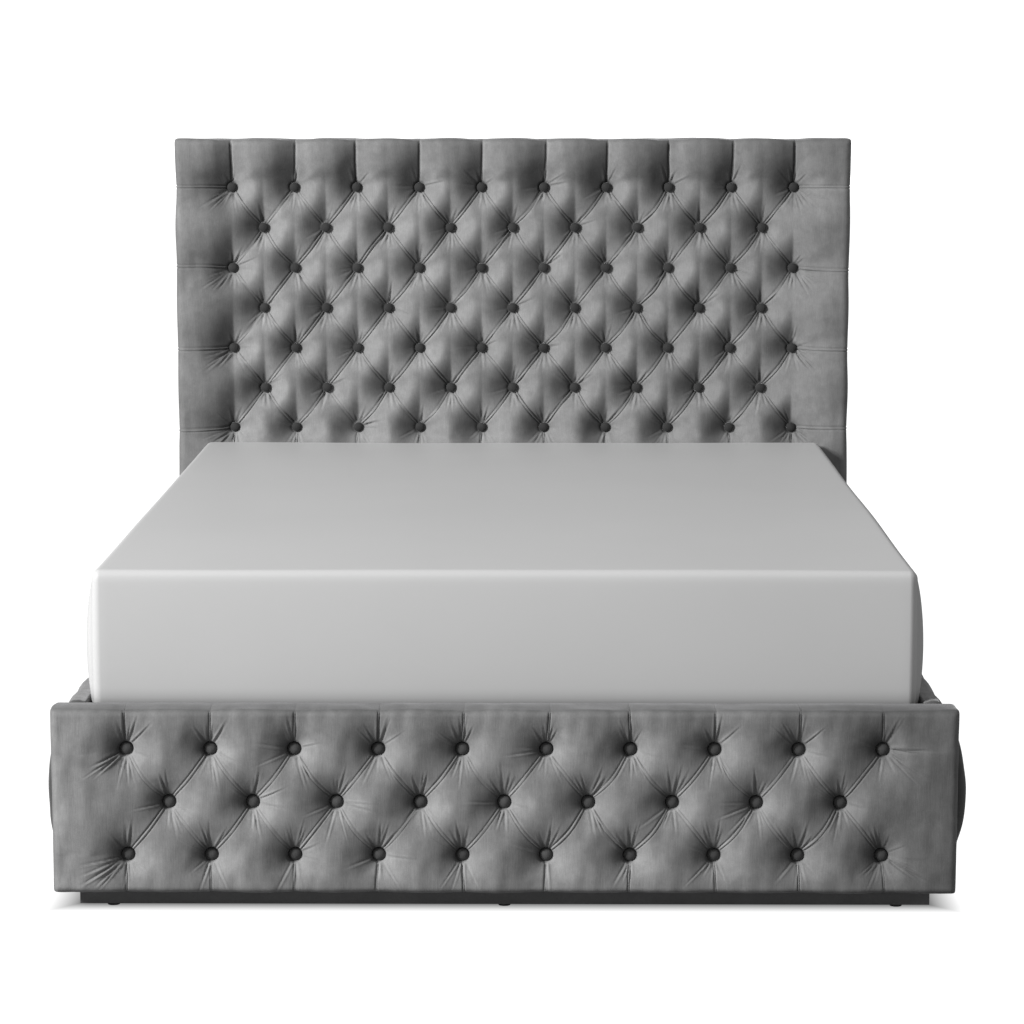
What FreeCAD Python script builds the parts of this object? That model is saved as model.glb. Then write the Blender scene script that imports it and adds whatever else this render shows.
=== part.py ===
"""King size bed with a deep-buttoned headboard, footboard and side rails, a slatted base and a mattress.

Millimetres, +Z up, +Y towards the head end, origin on the floor under the middle of the bed.
Every driving size is a cell of the Sizes sheet, and every piece is bound to those cells.
"""

import FreeCAD, Part
import os
import re
import Sketcher

DRIVING_SIZES = [
    # overall
    ("bedWidth", 1636),
    ("bedLength", 2196),
    ("headboardTop", 1350),
    ("railTop", 372),
    ("panelBottom", 34),
    ("headboardThickness", 110),
    ("footboardThickness", 74),
    # timber and boards
    ("postWidth", 110),
    ("headTimber", 44),
    ("footTimber", 20),
    ("boardThickness", 9),
    ("topRailHeight", 58.5),
    ("middleRailBottom", 677),
    ("middleRailHeight", 44),
    ("lowerRailBottom", 222),
    ("lowerRailHeight", 130),
    ("bottomRailHeight", 40),
    ("centreBlockWidth", 90),
    ("centreBlockBottom", 225),
    ("padBottom", 380),
    # upholstery
    ("coverThickness", 1.5),
    ("clothThickness", 1),
    ("foamGap", 0.3),
    ("hemWidth", 40),
    ("edgeRadius", 14),
    ("skinSlope", 0.6),
    # deep buttoning
    ("buttonPitch", 152),
    ("rowDrop", 98),
    ("longRowCount", 10),
    ("railRowCount", 13),
    ("firstRowDrop", 115),
    ("footRowRise", 68),
    ("dimpleRim", 34),
    ("dimpleSeat", 15),
    ("headDimple", 34),
    ("footDimple", 28),
    ("railDimple", 38),
    ("buttonRadius", 11.5),
    ("buttonRim", 3.5),
    ("buttonDome", 4.5),
    ("twineRadius", 1.2),
    ("twineHole", 3),
    ("toggleRadius", 9),
    ("toggleThickness", 2.5),
    ("toggleRecess", 3),
    # side rails
    ("railInner", 765),
    ("railBoard", 25),
    ("railShoulder", 798),
    ("railCrest", 846),
    # slatted base
    ("ledgeDepth", 25),
    ("ledgeHeight", 32),
    ("ledgeTop", 312),
    ("ledgeInset", 10),
    ("beamWidth", 45),
    ("beamHeight", 70),
    ("beamGap", 4),
    ("slatCount", 14),
    ("slatPitch", 145),
    ("slatWidth", 63),
    ("slatThickness", 8),
    ("slatInnerEnd", 8),
    ("slatOuterEnd", 757),
    ("slatEndHeight", 318),
    ("slatBow", 6),
    ("firstSlat", -955),
    ("capHeight", 18),
    ("capWidth", 67),
    ("capDepth", 33),
    ("capFloor", 5.5),
    ("capSlot", 10.1),
    ("centreCapHalf", 31),
    # hardware
    ("steelThickness", 4),
    ("bracketLeg", 60),
    ("bracketBottom", 100),
    ("bracketHeight", 150),
    ("boltColumn", 730),
    ("boltRow", 140),
    ("boltSpacing", 70),
    ("boltRadius", 4),
    ("boltHead", 6.5),
    ("boltHeadHeight", 5.5),
    ("insertRadius", 6),
    ("insertDepth", 14),
    ("screwRadius", 2.2),
    ("screwHead", 4.2),
    ("screwHeadHeight", 2.6),
    ("screwGrip", 16),
    ("fitGap", 0.05),
    ("hangerSteel", 2.5),
    ("hangerGripFoot", 16),
    ("hangerGripHead", 32),
    ("hangerWidth", 86),
    ("hangerHeight", 72),
    ("hangerReach", 45),
    ("hangerWall", 52),
    # centre legs and their levelling feet
    ("legSpacing", 650),
    ("legRadius", 25),
    ("legFlange", 40),
    ("legFlangeHeight", 6),
    ("legBottom", 22),
    ("legScrewReach", 32),
    ("stemRadius", 5),
    ("stemTop", 75),
    ("stemBore", 90),
    ("footRadius", 22),
    ("footHeight", 12),
    # plinth
    ("plinthSetback", 42),
    ("plinthThickness", 18),
    ("glideHeight", 4),
    ("glideRadius", 11),
    # mattress and sheet
    ("mattressWidth", 1500),
    ("mattressLength", 2000),
    ("mattressBase", 334),
    ("mattressTop", 606),
    ("mattressCorner", 45),
    ("surroundWidth", 70),
    ("comfortLayer", 45),
    ("sheetThickness", 1.5),
    ("sheetHem", 110),
]

doc = FreeCAD.newDocument("upholstered_bed")
sheet = doc.addObject("Spreadsheet::Sheet", "Sizes")
for line, (alias, value) in enumerate(DRIVING_SIZES, start=1):
    sheet.set(f"A{line}", alias)
    sheet.set(f"B{line}", str(value))
    sheet.setAlias(f"B{line}", alias)
doc.recompute()

ALIASES = re.compile(r"\b(" + "|".join(alias for alias, _ in DRIVING_SIZES) + r")\b")
NODES = []


# ---------------------------------------------------------------- binding to the sheet


def cells(formula):
    """The formula with each alias written as a cell of the Sizes sheet."""
    return ALIASES.sub(r"Sizes.\1", str(formula))


def size(formula):
    """The formula's present value, in millimetres."""
    return float(sheet.evalExpression(str(formula)))


def bind(feature, **formulas):
    """Binds each named property of the feature to its formula."""
    for name, formula in formulas.items():
        feature.setExpression(name, cells(formula))
    return feature


def place(feature, x="0", y="0", z="0", turn=None):
    """Puts the feature at a bound position, turned by (axis, angle)."""
    rotation = FreeCAD.Rotation(FreeCAD.Vector(*turn[0]), turn[1]) if turn else FreeCAD.Rotation()
    feature.Placement = FreeCAD.Placement(FreeCAD.Vector(size(x), size(y), size(z)), rotation)
    for name, formula in (("x", x), ("y", y), ("z", z)):
        feature.setExpression(f"Placement.Base.{name}", cells(formula))
    return feature


def keep(feature, label):
    """Marks the feature as one sub-part of the bed, with its own label."""
    feature.Label = label
    NODES.append(feature)
    return feature


# ---------------------------------------------------------------- bodies, sketches and patterns

TOWARDS_HEAD = ((1, 0, 0), -90)
TOWARDS_FOOT = ((1, 0, 0), 90)
TOWARDS_RIGHT = ((0, 1, 0), 90)
TOWARDS_LEFT = ((0, 1, 0), -90)


def new_body(name):
    return doc.addObject("PartDesign::Body", name)


def origin_feature(body, role):
    return [f for f in body.Origin.OriginFeatures if f.Role == role][0]


def outline(body, name, plane, corners, arc_from=None, arc_centre=None):
    """A closed sketch through bound corners. The side that starts at corner arc_from is an arc
    round a centre at the bound distance arc_centre along the sketch's first axis."""
    sketch = body.newObject("Sketcher::SketchObject", name)
    sketch.AttachmentSupport = [(origin_feature(body, plane), "")]
    sketch.MapMode = "FlatFace"
    points = [FreeCAD.Vector(size(a), size(b), 0) for a, b in corners]
    count = len(points)
    for i, start in enumerate(points):
        end = points[(i + 1) % count]
        if i == arc_from:
            centre = FreeCAD.Vector(size(arc_centre), (start.y + end.y) / 2, 0)
            middle = FreeCAD.Vector(centre.x + (start - centre).Length, centre.y, 0)
            sketch.addGeometry(Part.Arc(start, middle, end))
        else:
            sketch.addGeometry(Part.LineSegment(start, end))
    for i in range(count):
        sketch.addConstraint(Sketcher.Constraint("Coincident", i, 2, (i + 1) % count, 1))
    for i, corner in enumerate(corners):
        for kind, formula in zip(("DistanceX", "DistanceY"), corner):
            n = sketch.addConstraint(Sketcher.Constraint(kind, -1, 1, i, 1, size(formula)))
            sketch.setExpression(f"Constraints[{n}]", cells(formula))
    if arc_from is not None:
        n = sketch.addConstraint(
            Sketcher.Constraint("DistanceX", -1, 1, arc_from, 3, size(arc_centre))
        )
        sketch.setExpression(f"Constraints[{n}]", cells(arc_centre))
    return sketch


def extrude(body, sketch, length, middle=True, start="0"):
    """Pads the sketch by a bound length, half to each side, or from a bound start on its axis."""
    feature = body.newObject("PartDesign::Pad", "Pad")
    feature.Profile = sketch
    feature.SideType = "Symmetric" if middle else "One side"
    bind(feature, Length=length)
    if not middle:
        sketch.setExpression("AttachmentOffset.Base.z", cells(start))
    return feature


def repeat(body, original, steps):
    """Repeats one feature along one or two origin axes: steps holds (axis, spacing, count)."""
    if not steps:
        return original
    doc.recompute()
    feature = body.newObject("PartDesign::LinearPattern", "Pattern")
    feature.Originals = [original]
    for suffix, (axis, spacing, count) in zip(("", "2"), steps):
        backwards = axis.startswith("-")
        setattr(feature, "Direction" + suffix, (origin_feature(body, axis[-1] + "_Axis"), [""]))
        setattr(feature, "Reversed" + suffix, backwards)
        feature.setExpression("Length" + suffix, cells(f"({spacing}) * (({count}) - 1)"))
        feature.setExpression("Occurrences" + suffix, cells(count))
    body.Tip = feature
    return feature


def round_edges(body, base, radius, chosen):
    """Fillets the edges whose middle point passes the test."""
    doc.recompute()
    names = [
        f"Edge{i}"
        for i, edge in enumerate(base.Shape.Edges, start=1)
        if chosen(edge.CenterOfMass, edge)
    ]
    feature = body.newObject("PartDesign::Fillet", "Fillet")
    feature.Base = (base, names)
    bind(feature, Radius=radius)
    body.Tip = feature
    return feature


def rods(name, turn, x, y, z, segments, steps=(), hex_head=False):
    """A stack of coaxial cylinders that starts at (x, y, z) and runs the way turn says, repeated by
    steps. Each segment is (radius, from, to) along the axis, and the first may be a hexagon."""
    body = new_body(name)
    ahead = {
        TOWARDS_HEAD: (0, 1, 0), TOWARDS_FOOT: (0, -1, 0), TOWARDS_RIGHT: (1, 0, 0),
        TOWARDS_LEFT: (-1, 0, 0), None: (0, 0, 1),
    }[turn]
    for i, (radius, start, end) in enumerate(segments):
        if i == 0 and hex_head:
            piece = body.newObject("PartDesign::AdditivePrism", "Head")
            piece.Polygon = 6
            bind(piece, Circumradius=radius, Height=f"({end}) - ({start})")
        else:
            piece = body.newObject("PartDesign::AdditiveCylinder", "Rod")
            bind(piece, Radius=radius, Height=f"({end}) - ({start})")
        place(
            piece,
            *(f"({at}) + ({k}) * ({start})" for at, k in zip((x, y, z), ahead)),
            turn=turn,
        )
        repeat(body, piece, steps)
    return body


def blocks(name, x, y, z, length, width, height, steps=()):
    """Boxes from the low corner (x, y, z), repeated by steps."""
    body = new_body(name)
    first = body.newObject("PartDesign::AdditiveBox", "Block")
    bind(first, Length=length, Width=width, Height=height)
    place(first, x, y, z)
    repeat(body, first, steps)
    return body


def box(name, x, y, z, length, width, height):
    """One plain board from its low corner."""
    feature = doc.addObject("Part::Box", name)
    bind(feature, Length=length, Width=width, Height=height)
    return place(feature, x, y, z)


def group(name, *members):
    feature = doc.addObject("Part::Compound", name)
    feature.Links = list(members)
    return feature


def cut(name, base, *tools):
    """The base with the tools taken out of it."""
    feature = doc.addObject("Part::Cut", name)
    feature.Base = base
    feature.Tool = tools[0] if len(tools) == 1 else group(name + "_tools", *tools)
    return feature


def mirrored(name, source, normal, y="0"):
    """The source on the other side of the bed, or at its other end."""
    feature = doc.addObject("Part::Mirroring", name)
    feature.Source = source
    feature.Normal = FreeCAD.Vector(*normal)
    feature.Base = FreeCAD.Vector(0, size(y), 0)
    feature.setExpression("Base.y", cells(y))
    return feature


ACROSS, ALONG = (1, 0, 0), (0, 1, 0)

# ---------------------------------------------------------------- planes that pieces share

HEAD_BACK = "bedLength / 2 - clothThickness"
HEAD_TIMBER_BACK = "bedLength / 2 - clothThickness - coverThickness"
HEAD_TIMBER_FRONT = f"{HEAD_TIMBER_BACK} - headTimber"
HEAD_BOARD_FRONT = f"{HEAD_TIMBER_FRONT} - boardThickness"
HEAD_CREST = "bedLength / 2 - headboardThickness"
RAIL_END = f"{HEAD_BOARD_FRONT} - coverThickness"
FOOT_CREST = "-bedLength / 2"
RAIL_START = "-bedLength / 2 + footboardThickness"
FOOT_TIMBER_FRONT = f"{RAIL_START} - coverThickness - footTimber"
FOOT_BOARD_FRONT = f"{FOOT_TIMBER_FRONT} - boardThickness"
RAIL_MIDDLE = f"(({RAIL_START}) + ({RAIL_END})) / 2"
RAIL_LENGTH = f"(({RAIL_END}) - ({RAIL_START}))"
INNER_WIDTH = "(bedWidth - 2 * coverThickness)"
TIMBER_BOTTOM = "panelBottom + coverThickness"
TIMBER_TOP_HEAD = "headboardTop - coverThickness"
TIMBER_TOP_FOOT = "railTop - coverThickness"
BETWEEN_POSTS = f"{INNER_WIDTH} - 2 * postWidth"
FOAM_SKIN = "(coverThickness + foamGap)"

# ---------------------------------------------------------------- the buttoned pads


def button_grid(across, count, down, long_rows, short_rows):
    """The two interlocking grids of buttons: (first position, steps) of the long rows, which have
    count buttons, and of the short rows between them, which have one less."""
    long_steps = [(across, "buttonPitch", count), (down, "2 * rowDrop", str(long_rows))]
    short_steps = [(across, "buttonPitch", f"{count} - 1"), (down, "2 * rowDrop", str(short_rows))]
    half = f"(({count}) - 1) * buttonPitch / 2"
    return [(half, "0", long_steps), (f"({half}) - buttonPitch / 2", "rowDrop", short_steps)]


class Panel:
    """Where the buttons of one panel are, and which way they go in."""

    def __init__(self, name, turn, count, long_rows, short_rows, crest, depth, top_row, centre="0"):
        self.name, self.turn, self.crest, self.depth = name, turn, crest, depth
        self.along_rail = turn == TOWARDS_LEFT
        across = "Y" if self.along_rail else "X"
        self.grids = button_grid(across, count, "-Z", long_rows, short_rows)
        self.top_row, self.centre = top_row, centre
        self.sign = "-1" if self.along_rail else "1"

    def at(self, grid, inwards):
        """The bound place of a grid's first button, at a distance inwards from the crest."""
        half, drop, _ = grid
        level = f"{self.crest} + ({self.sign}) * ({inwards})"
        start = f"({self.centre}) - ({half})"
        height = f"({self.top_row}) - ({drop})"
        return (level, start, height) if self.along_rail else (start, level, height)

    def dimples(self, body, skin, hole=None, hole_depth=None):
        """Takes every button's dimple, and the hole for its twine if it has one, out of the body."""
        for grid in self.grids:
            cone = body.newObject("PartDesign::SubtractiveCone", "Dimple")
            bind(
                cone,
                Radius1=f"dimpleRim + skinSlope * {skin}",
                Radius2=f"dimpleSeat + skinSlope * {skin}",
                Height=self.depth,
            )
            place(cone, *self.at(grid, skin), turn=self.turn)
            repeat(body, cone, grid[2])
            if hole:
                bore = body.newObject("PartDesign::SubtractiveCylinder", "TwineHole")
                bind(bore, Radius=hole, Height=hole_depth)
                place(bore, *self.at(grid, f"{self.depth} - 1"), turn=self.turn)
                repeat(body, bore, grid[2])

    def buttons(self):
        """Domed covered buttons, one at the bottom of every dimple."""
        outwards = TOWARDS_RIGHT if self.along_rail else TOWARDS_FOOT
        body = new_body(self.name + "_buttons")
        for grid in self.grids:
            rim = body.newObject("PartDesign::AdditiveCylinder", "ButtonRim")
            bind(rim, Radius="buttonRadius", Height="buttonRim")
            place(rim, *self.at(grid, self.depth), turn=outwards)
            repeat(body, rim, grid[2])
            ball = "((buttonRadius ^ 2 + buttonDome ^ 2) / (2 * buttonDome))"
            dome = body.newObject("PartDesign::AdditiveSphere", "ButtonDome")
            bind(dome, Radius=ball, Angle1=f"asin(({ball} - buttonDome) / {ball})")
            dome.Angle2 = 90
            centre = f"{self.depth} - buttonRim - buttonDome + {ball}"
            place(dome, *self.at(grid, centre), turn=outwards)
            repeat(body, dome, grid[2])
        return body

    def ties(self, twine_end):
        """Twine from each button through foam and board to a toggle behind it."""
        made = [
            rods(
                f"{self.name}_ties_{i}", self.turn, *self.at(grid, "0"),
                [("twineRadius", self.depth, twine_end),
                 ("toggleRadius", twine_end, f"{twine_end} + toggleThickness")],
                grid[2],
            )
            for i, grid in enumerate(self.grids)
        ]
        return group(self.name + "_button_ties", *made)

    def holes(self, radius, start, end, name):
        """Rods at every button, to be cut out of a board."""
        return [
            rods(f"{name}_{i}", self.turn, *self.at(grid, "0"), [(radius, start, end)], grid[2])
            for i, grid in enumerate(self.grids)
        ]


def head_shape(name, skin, back, foam=False):
    """The headboard's outer shape, taken in by skin: a pad on the upper part of a flat board."""
    body = new_body(name)
    front, crest = f"{HEAD_BOARD_FRONT} - coverThickness + {skin}", f"{HEAD_CREST} + {skin}"
    low, high = f"padBottom + {skin}", f"headboardTop - {skin}"
    if foam:
        corners = [(back, low), (back, high), (crest, high), (crest, low)]
    else:
        floor = f"panelBottom + {skin}"
        corners = [
            (back, floor), (back, high), (crest, high), (crest, low), (front, low), (front, floor)
        ]
    solid = extrude(
        body, outline(body, name + "_profile", "YZ_Plane", corners), f"bedWidth - 2 * {skin}"
    )
    half, face = size(f"bedWidth / 2 - {skin}"), size(crest)
    top, bottom = size(high), size(low)

    def front_rim(middle, edge):
        on_face = abs(middle.y - face) < 0.01
        return on_face and (
            abs(abs(middle.x) - half) < 0.01 or middle.z > top - 0.01 or middle.z < bottom + 0.01
        )

    round_edges(body, solid, f"edgeRadius - {skin}", front_rim)
    return body


def foot_shape(name, skin, back):
    """The footboard's outer shape, taken in by skin."""
    body = new_body(name)
    crest, low, high = f"{FOOT_CREST} + {skin}", f"panelBottom + {skin}", f"railTop - {skin}"
    corners = [(back, low), (back, high), (crest, high), (crest, low)]
    solid = extrude(
        body, outline(body, name + "_profile", "YZ_Plane", corners), f"bedWidth - 2 * {skin}"
    )
    face = size(crest)
    round_edges(body, solid, f"edgeRadius - {skin}", lambda middle, edge: abs(middle.y - face) < 0.01)
    return body


def rail_shape(name, skin, inner):
    """A side rail's outer shape, taken in by skin: flat inside, and bellied out to its crest."""
    half_height = "(railTop - panelBottom) / 2"
    rise = "(railCrest - railShoulder)"
    radius = f"((({half_height}) ^ 2 + {rise} ^ 2) / (2 * {rise}))"
    centre = f"railCrest - {radius}"
    shoulder = f"{centre} + sqrt(({radius} - {skin}) ^ 2 - ({half_height} - {skin}) ^ 2)"
    low, high = f"panelBottom + {skin}", f"railTop - {skin}"
    body = new_body(name)
    corners = [(shoulder, low), (shoulder, high), (inner, high), (inner, low)]
    profile = outline(body, name + "_profile", "XZ_Plane", corners, 0, centre)
    solid = body.newObject("PartDesign::Pad", "Pad")
    solid.Profile = profile
    bind(solid, Length=RAIL_LENGTH)
    solid.Reversed = True
    profile.setExpression("AttachmentOffset.Base.z", cells(f"-({RAIL_START})"))
    return body


HEAD_PANEL = Panel(
    "headboard", TOWARDS_HEAD, "longRowCount", 4, 3, HEAD_CREST, "headDimple",
    "headboardTop - firstRowDrop",
)
FOOT_PANEL = Panel(
    "footboard", TOWARDS_HEAD, "longRowCount", 2, 1, FOOT_CREST, "footDimple",
    "panelBottom + footRowRise + 2 * rowDrop",
)
RAIL_PANEL = Panel(
    "side_rail_right", TOWARDS_LEFT, "railRowCount", 2, 1, "railCrest", "railDimple",
    "panelBottom + footRowRise + 2 * rowDrop", RAIL_MIDDLE,
)

# ---------------------------------------------------------------- bolt and screw positions

BOLT_STEPS = [("X", "2 * boltColumn", "2"), ("Z", "boltSpacing", "2")]


def bolt_rods(name, turn, start, segments, hex_head=False):
    return rods(name, turn, "-boltColumn", start, "boltRow", segments, BOLT_STEPS, hex_head)


HANGER_BOTTOM = "ledgeTop - beamHeight - 3 * hangerSteel"
HANGER_STEPS = [("X", "hangerWidth - 14", "2"), ("Z", "hangerHeight - 26", "2")]


def hanger_rods(name, turn, start, segments):
    return rods(
        name, turn, "-(hangerWidth - 14) / 2", start, f"{HANGER_BOTTOM} + 18", segments, HANGER_STEPS
    )


# ---------------------------------------------------------------- the headboard


def build_headboard():
    bolt_holes = bolt_rods(
        "head_bolt_holes",
        TOWARDS_HEAD,
        RAIL_END,
        [("boltRadius + 0.5", "-1", "coverThickness + boardThickness + insertDepth")],
    )
    insert_holes = bolt_rods(
        "head_insert_holes",
        TOWARDS_HEAD,
        HEAD_TIMBER_FRONT,
        [("insertRadius + fitGap", "0", "insertDepth")],
    )
    pilot = [("screwRadius + fitGap", "-1", "hangerGripHead + 1")]
    screw_holes = hanger_rods("head_screw_holes", TOWARDS_HEAD, RAIL_END, pilot)
    height = f"{TIMBER_TOP_HEAD} - ({TIMBER_BOTTOM})"
    for side, x in (("left", f"-{INNER_WIDTH} / 2"), ("right", f"{INNER_WIDTH} / 2 - postWidth")):
        post = box(
            f"head_post_{side}", x, HEAD_TIMBER_FRONT, TIMBER_BOTTOM, "postWidth", "headTimber", height
        )
        keep(cut(f"head_post_{side}_drilled", post, insert_holes), f"headboard_post_{side}")
    low_x = f"-({BETWEEN_POSTS}) / 2"
    rails = [
        ("headboard_top_rail", f"{TIMBER_TOP_HEAD} - topRailHeight", "topRailHeight"),
        ("headboard_middle_rail", "middleRailBottom", "middleRailHeight"),
    ]
    for label, z, tall in rails:
        keep(box(label, low_x, HEAD_TIMBER_FRONT, z, BETWEEN_POSTS, "headTimber", tall), label)
    lower = box(
        "head_lower_rail",
        low_x,
        HEAD_TIMBER_FRONT,
        "lowerRailBottom",
        BETWEEN_POSTS,
        "headTimber",
        "lowerRailHeight",
    )
    keep(cut("head_lower_rail_drilled", lower, screw_holes), "headboard_lower_rail")
    board = box(
        "head_board",
        f"-{INNER_WIDTH} / 2",
        HEAD_BOARD_FRONT,
        TIMBER_BOTTOM,
        INNER_WIDTH,
        "boardThickness",
        height,
    )
    twine_holes = HEAD_PANEL.holes("twineHole", "headDimple", "headboardThickness", "head_board_hole")
    keep(cut("head_board_drilled", board, *twine_holes, bolt_holes, screw_holes), "headboard_board")

    foam = head_shape("headboard_foam_body", FOAM_SKIN, HEAD_BOARD_FRONT, foam=True)
    HEAD_PANEL.dimples(foam, FOAM_SKIN, "twineHole", "headboardThickness")
    keep(foam, "headboard_foam")

    outside = head_shape("head_cover_outside", "0", HEAD_BACK)
    HEAD_PANEL.dimples(outside, "0", "twineRadius + 0.4", "coverThickness + 2")
    inside = head_shape("head_cover_inside", "coverThickness", HEAD_TIMBER_BACK)
    HEAD_PANEL.dimples(inside, "coverThickness")
    window = box(
        "head_cover_window",
        "hemWidth - bedWidth / 2", f"{HEAD_TIMBER_BACK} - 1", "panelBottom + hemWidth",
        "bedWidth - 2 * hemWidth", "coverThickness + 2", "headboardTop - panelBottom - 2 * hemWidth",
    )
    cover = cut("head_cover_shell", outside, inside)
    keep(cut("head_cover_hemmed", cover, window, bolt_holes, screw_holes), "headboard_cover")
    keep(HEAD_PANEL.buttons(), "headboard_buttons")
    keep(
        HEAD_PANEL.ties("headboardThickness - clothThickness - coverThickness - headTimber"),
        "headboard_button_ties",
    )
    margin = "hemWidth / 2"
    keep(
        box(
            "head_back_cloth", f"{margin} - bedWidth / 2", HEAD_BACK, f"panelBottom + {margin}",
            f"bedWidth - 2 * {margin}", "clothThickness", f"headboardTop - panelBottom - 2 * {margin}",
        ),
        "headboard_back_cloth",
    )


# ---------------------------------------------------------------- the footboard


def build_footboard():
    bolt_holes = bolt_rods(
        "foot_bolt_holes", TOWARDS_FOOT, RAIL_START, [("boltRadius + 0.5", "-1", "coverThickness")]
    )
    insert_holes = bolt_rods(
        "foot_insert_holes",
        TOWARDS_FOOT,
        f"{RAIL_START} - coverThickness",
        [("insertRadius + fitGap", "0", "insertDepth")],
    )
    pilot = [("screwRadius + fitGap", "-1", "hangerGripFoot + 1")]
    screw_holes = hanger_rods("foot_screw_holes", TOWARDS_FOOT, RAIL_START, pilot)
    height = f"{TIMBER_TOP_FOOT} - ({TIMBER_BOTTOM})"
    for side, x in (("left", f"-{INNER_WIDTH} / 2"), ("right", f"{INNER_WIDTH} / 2 - postWidth")):
        post = box(
            f"foot_post_{side}", x, FOOT_TIMBER_FRONT, TIMBER_BOTTOM, "postWidth", "footTimber", height
        )
        keep(cut(f"foot_post_{side}_drilled", post, insert_holes), f"footboard_post_{side}")
    low_x = f"-({BETWEEN_POSTS}) / 2"
    top_bottom = f"{TIMBER_TOP_FOOT} - topRailHeight"
    keep(
        box(
            "foot_top_rail",
            low_x,
            FOOT_TIMBER_FRONT,
            top_bottom,
            BETWEEN_POSTS,
            "footTimber",
            "topRailHeight",
        ),
        "footboard_top_rail",
    )
    keep(
        box(
            "foot_bottom_rail",
            low_x,
            FOOT_TIMBER_FRONT,
            TIMBER_BOTTOM,
            BETWEEN_POSTS,
            "footTimber",
            "bottomRailHeight",
        ),
        "footboard_bottom_rail",
    )
    block = box(
        "foot_centre_block", "-centreBlockWidth / 2", FOOT_TIMBER_FRONT, "centreBlockBottom",
        "centreBlockWidth", "footTimber", f"{top_bottom} - centreBlockBottom",
    )
    keep(cut("foot_centre_block_drilled", block, screw_holes), "footboard_centre_block")
    board = box(
        "foot_board",
        f"-{INNER_WIDTH} / 2",
        FOOT_BOARD_FRONT,
        TIMBER_BOTTOM,
        INNER_WIDTH,
        "boardThickness",
        height,
    )
    twine_holes = FOOT_PANEL.holes("twineHole", "footDimple", "footboardThickness", "foot_board_hole")
    keep(cut("foot_board_drilled", board, *twine_holes), "footboard_board")

    foam = foot_shape("footboard_foam_body", FOAM_SKIN, FOOT_BOARD_FRONT)
    FOOT_PANEL.dimples(foam, FOAM_SKIN, "twineHole", "footboardThickness")
    keep(foam, "footboard_foam")

    outside = foot_shape("foot_cover_outside", "0", RAIL_START)
    FOOT_PANEL.dimples(outside, "0", "twineRadius + 0.4", "coverThickness + 2")
    inside = foot_shape("foot_cover_inside", "coverThickness", f"{RAIL_START} - coverThickness")
    FOOT_PANEL.dimples(inside, "coverThickness")
    window = box(
        "foot_cover_window",
        "hemWidth - bedWidth / 2", f"{RAIL_START} - coverThickness - 1", "panelBottom + hemWidth",
        "bedWidth - 2 * hemWidth", "coverThickness + 2", "railTop - panelBottom - 2 * hemWidth",
    )
    cover = cut("foot_cover_shell", outside, inside)
    keep(cut("foot_cover_hemmed", cover, window), "footboard_cover")
    keep(FOOT_PANEL.buttons(), "footboard_buttons")
    keep(FOOT_PANEL.ties("footboardThickness - coverThickness - footTimber"), "footboard_button_ties")
    lining = box(
        "foot_lining", "hemWidth + foamGap - bedWidth / 2", f"{RAIL_START} - coverThickness",
        "panelBottom + hemWidth + foamGap", "bedWidth - 2 * (hemWidth + foamGap)", "coverThickness",
        "railTop - panelBottom - 2 * (hemWidth + foamGap)",
    )
    keep(cut("foot_lining_cut", lining, bolt_holes, screw_holes), "footboard_inner_lining")


# ---------------------------------------------------------------- the side rails

LEDGE_SCREW_STEPS = [("Y", "2 * buttonPitch", "6")]
LEDGE_SCREW_Y = f"{RAIL_MIDDLE} - 4.5 * buttonPitch"
LEDGE_SCREW_Z = "ledgeTop - ledgeHeight / 2"
BRACKET_SCREW_STEPS = [("Y", f"{RAIL_LENGTH} - bracketLeg", "2"), ("Z", "(bracketHeight - 50) / 2", "3")]


def ledge_rods(name, x, segments):
    return rods(name, TOWARDS_RIGHT, x, LEDGE_SCREW_Y, LEDGE_SCREW_Z, segments, LEDGE_SCREW_STEPS)


def bracket_rods(name, x, segments):
    y = f"{RAIL_START} + bracketLeg / 2"
    return rods(name, TOWARDS_RIGHT, x, y, "bracketBottom + 25", segments, BRACKET_SCREW_STEPS)


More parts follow.
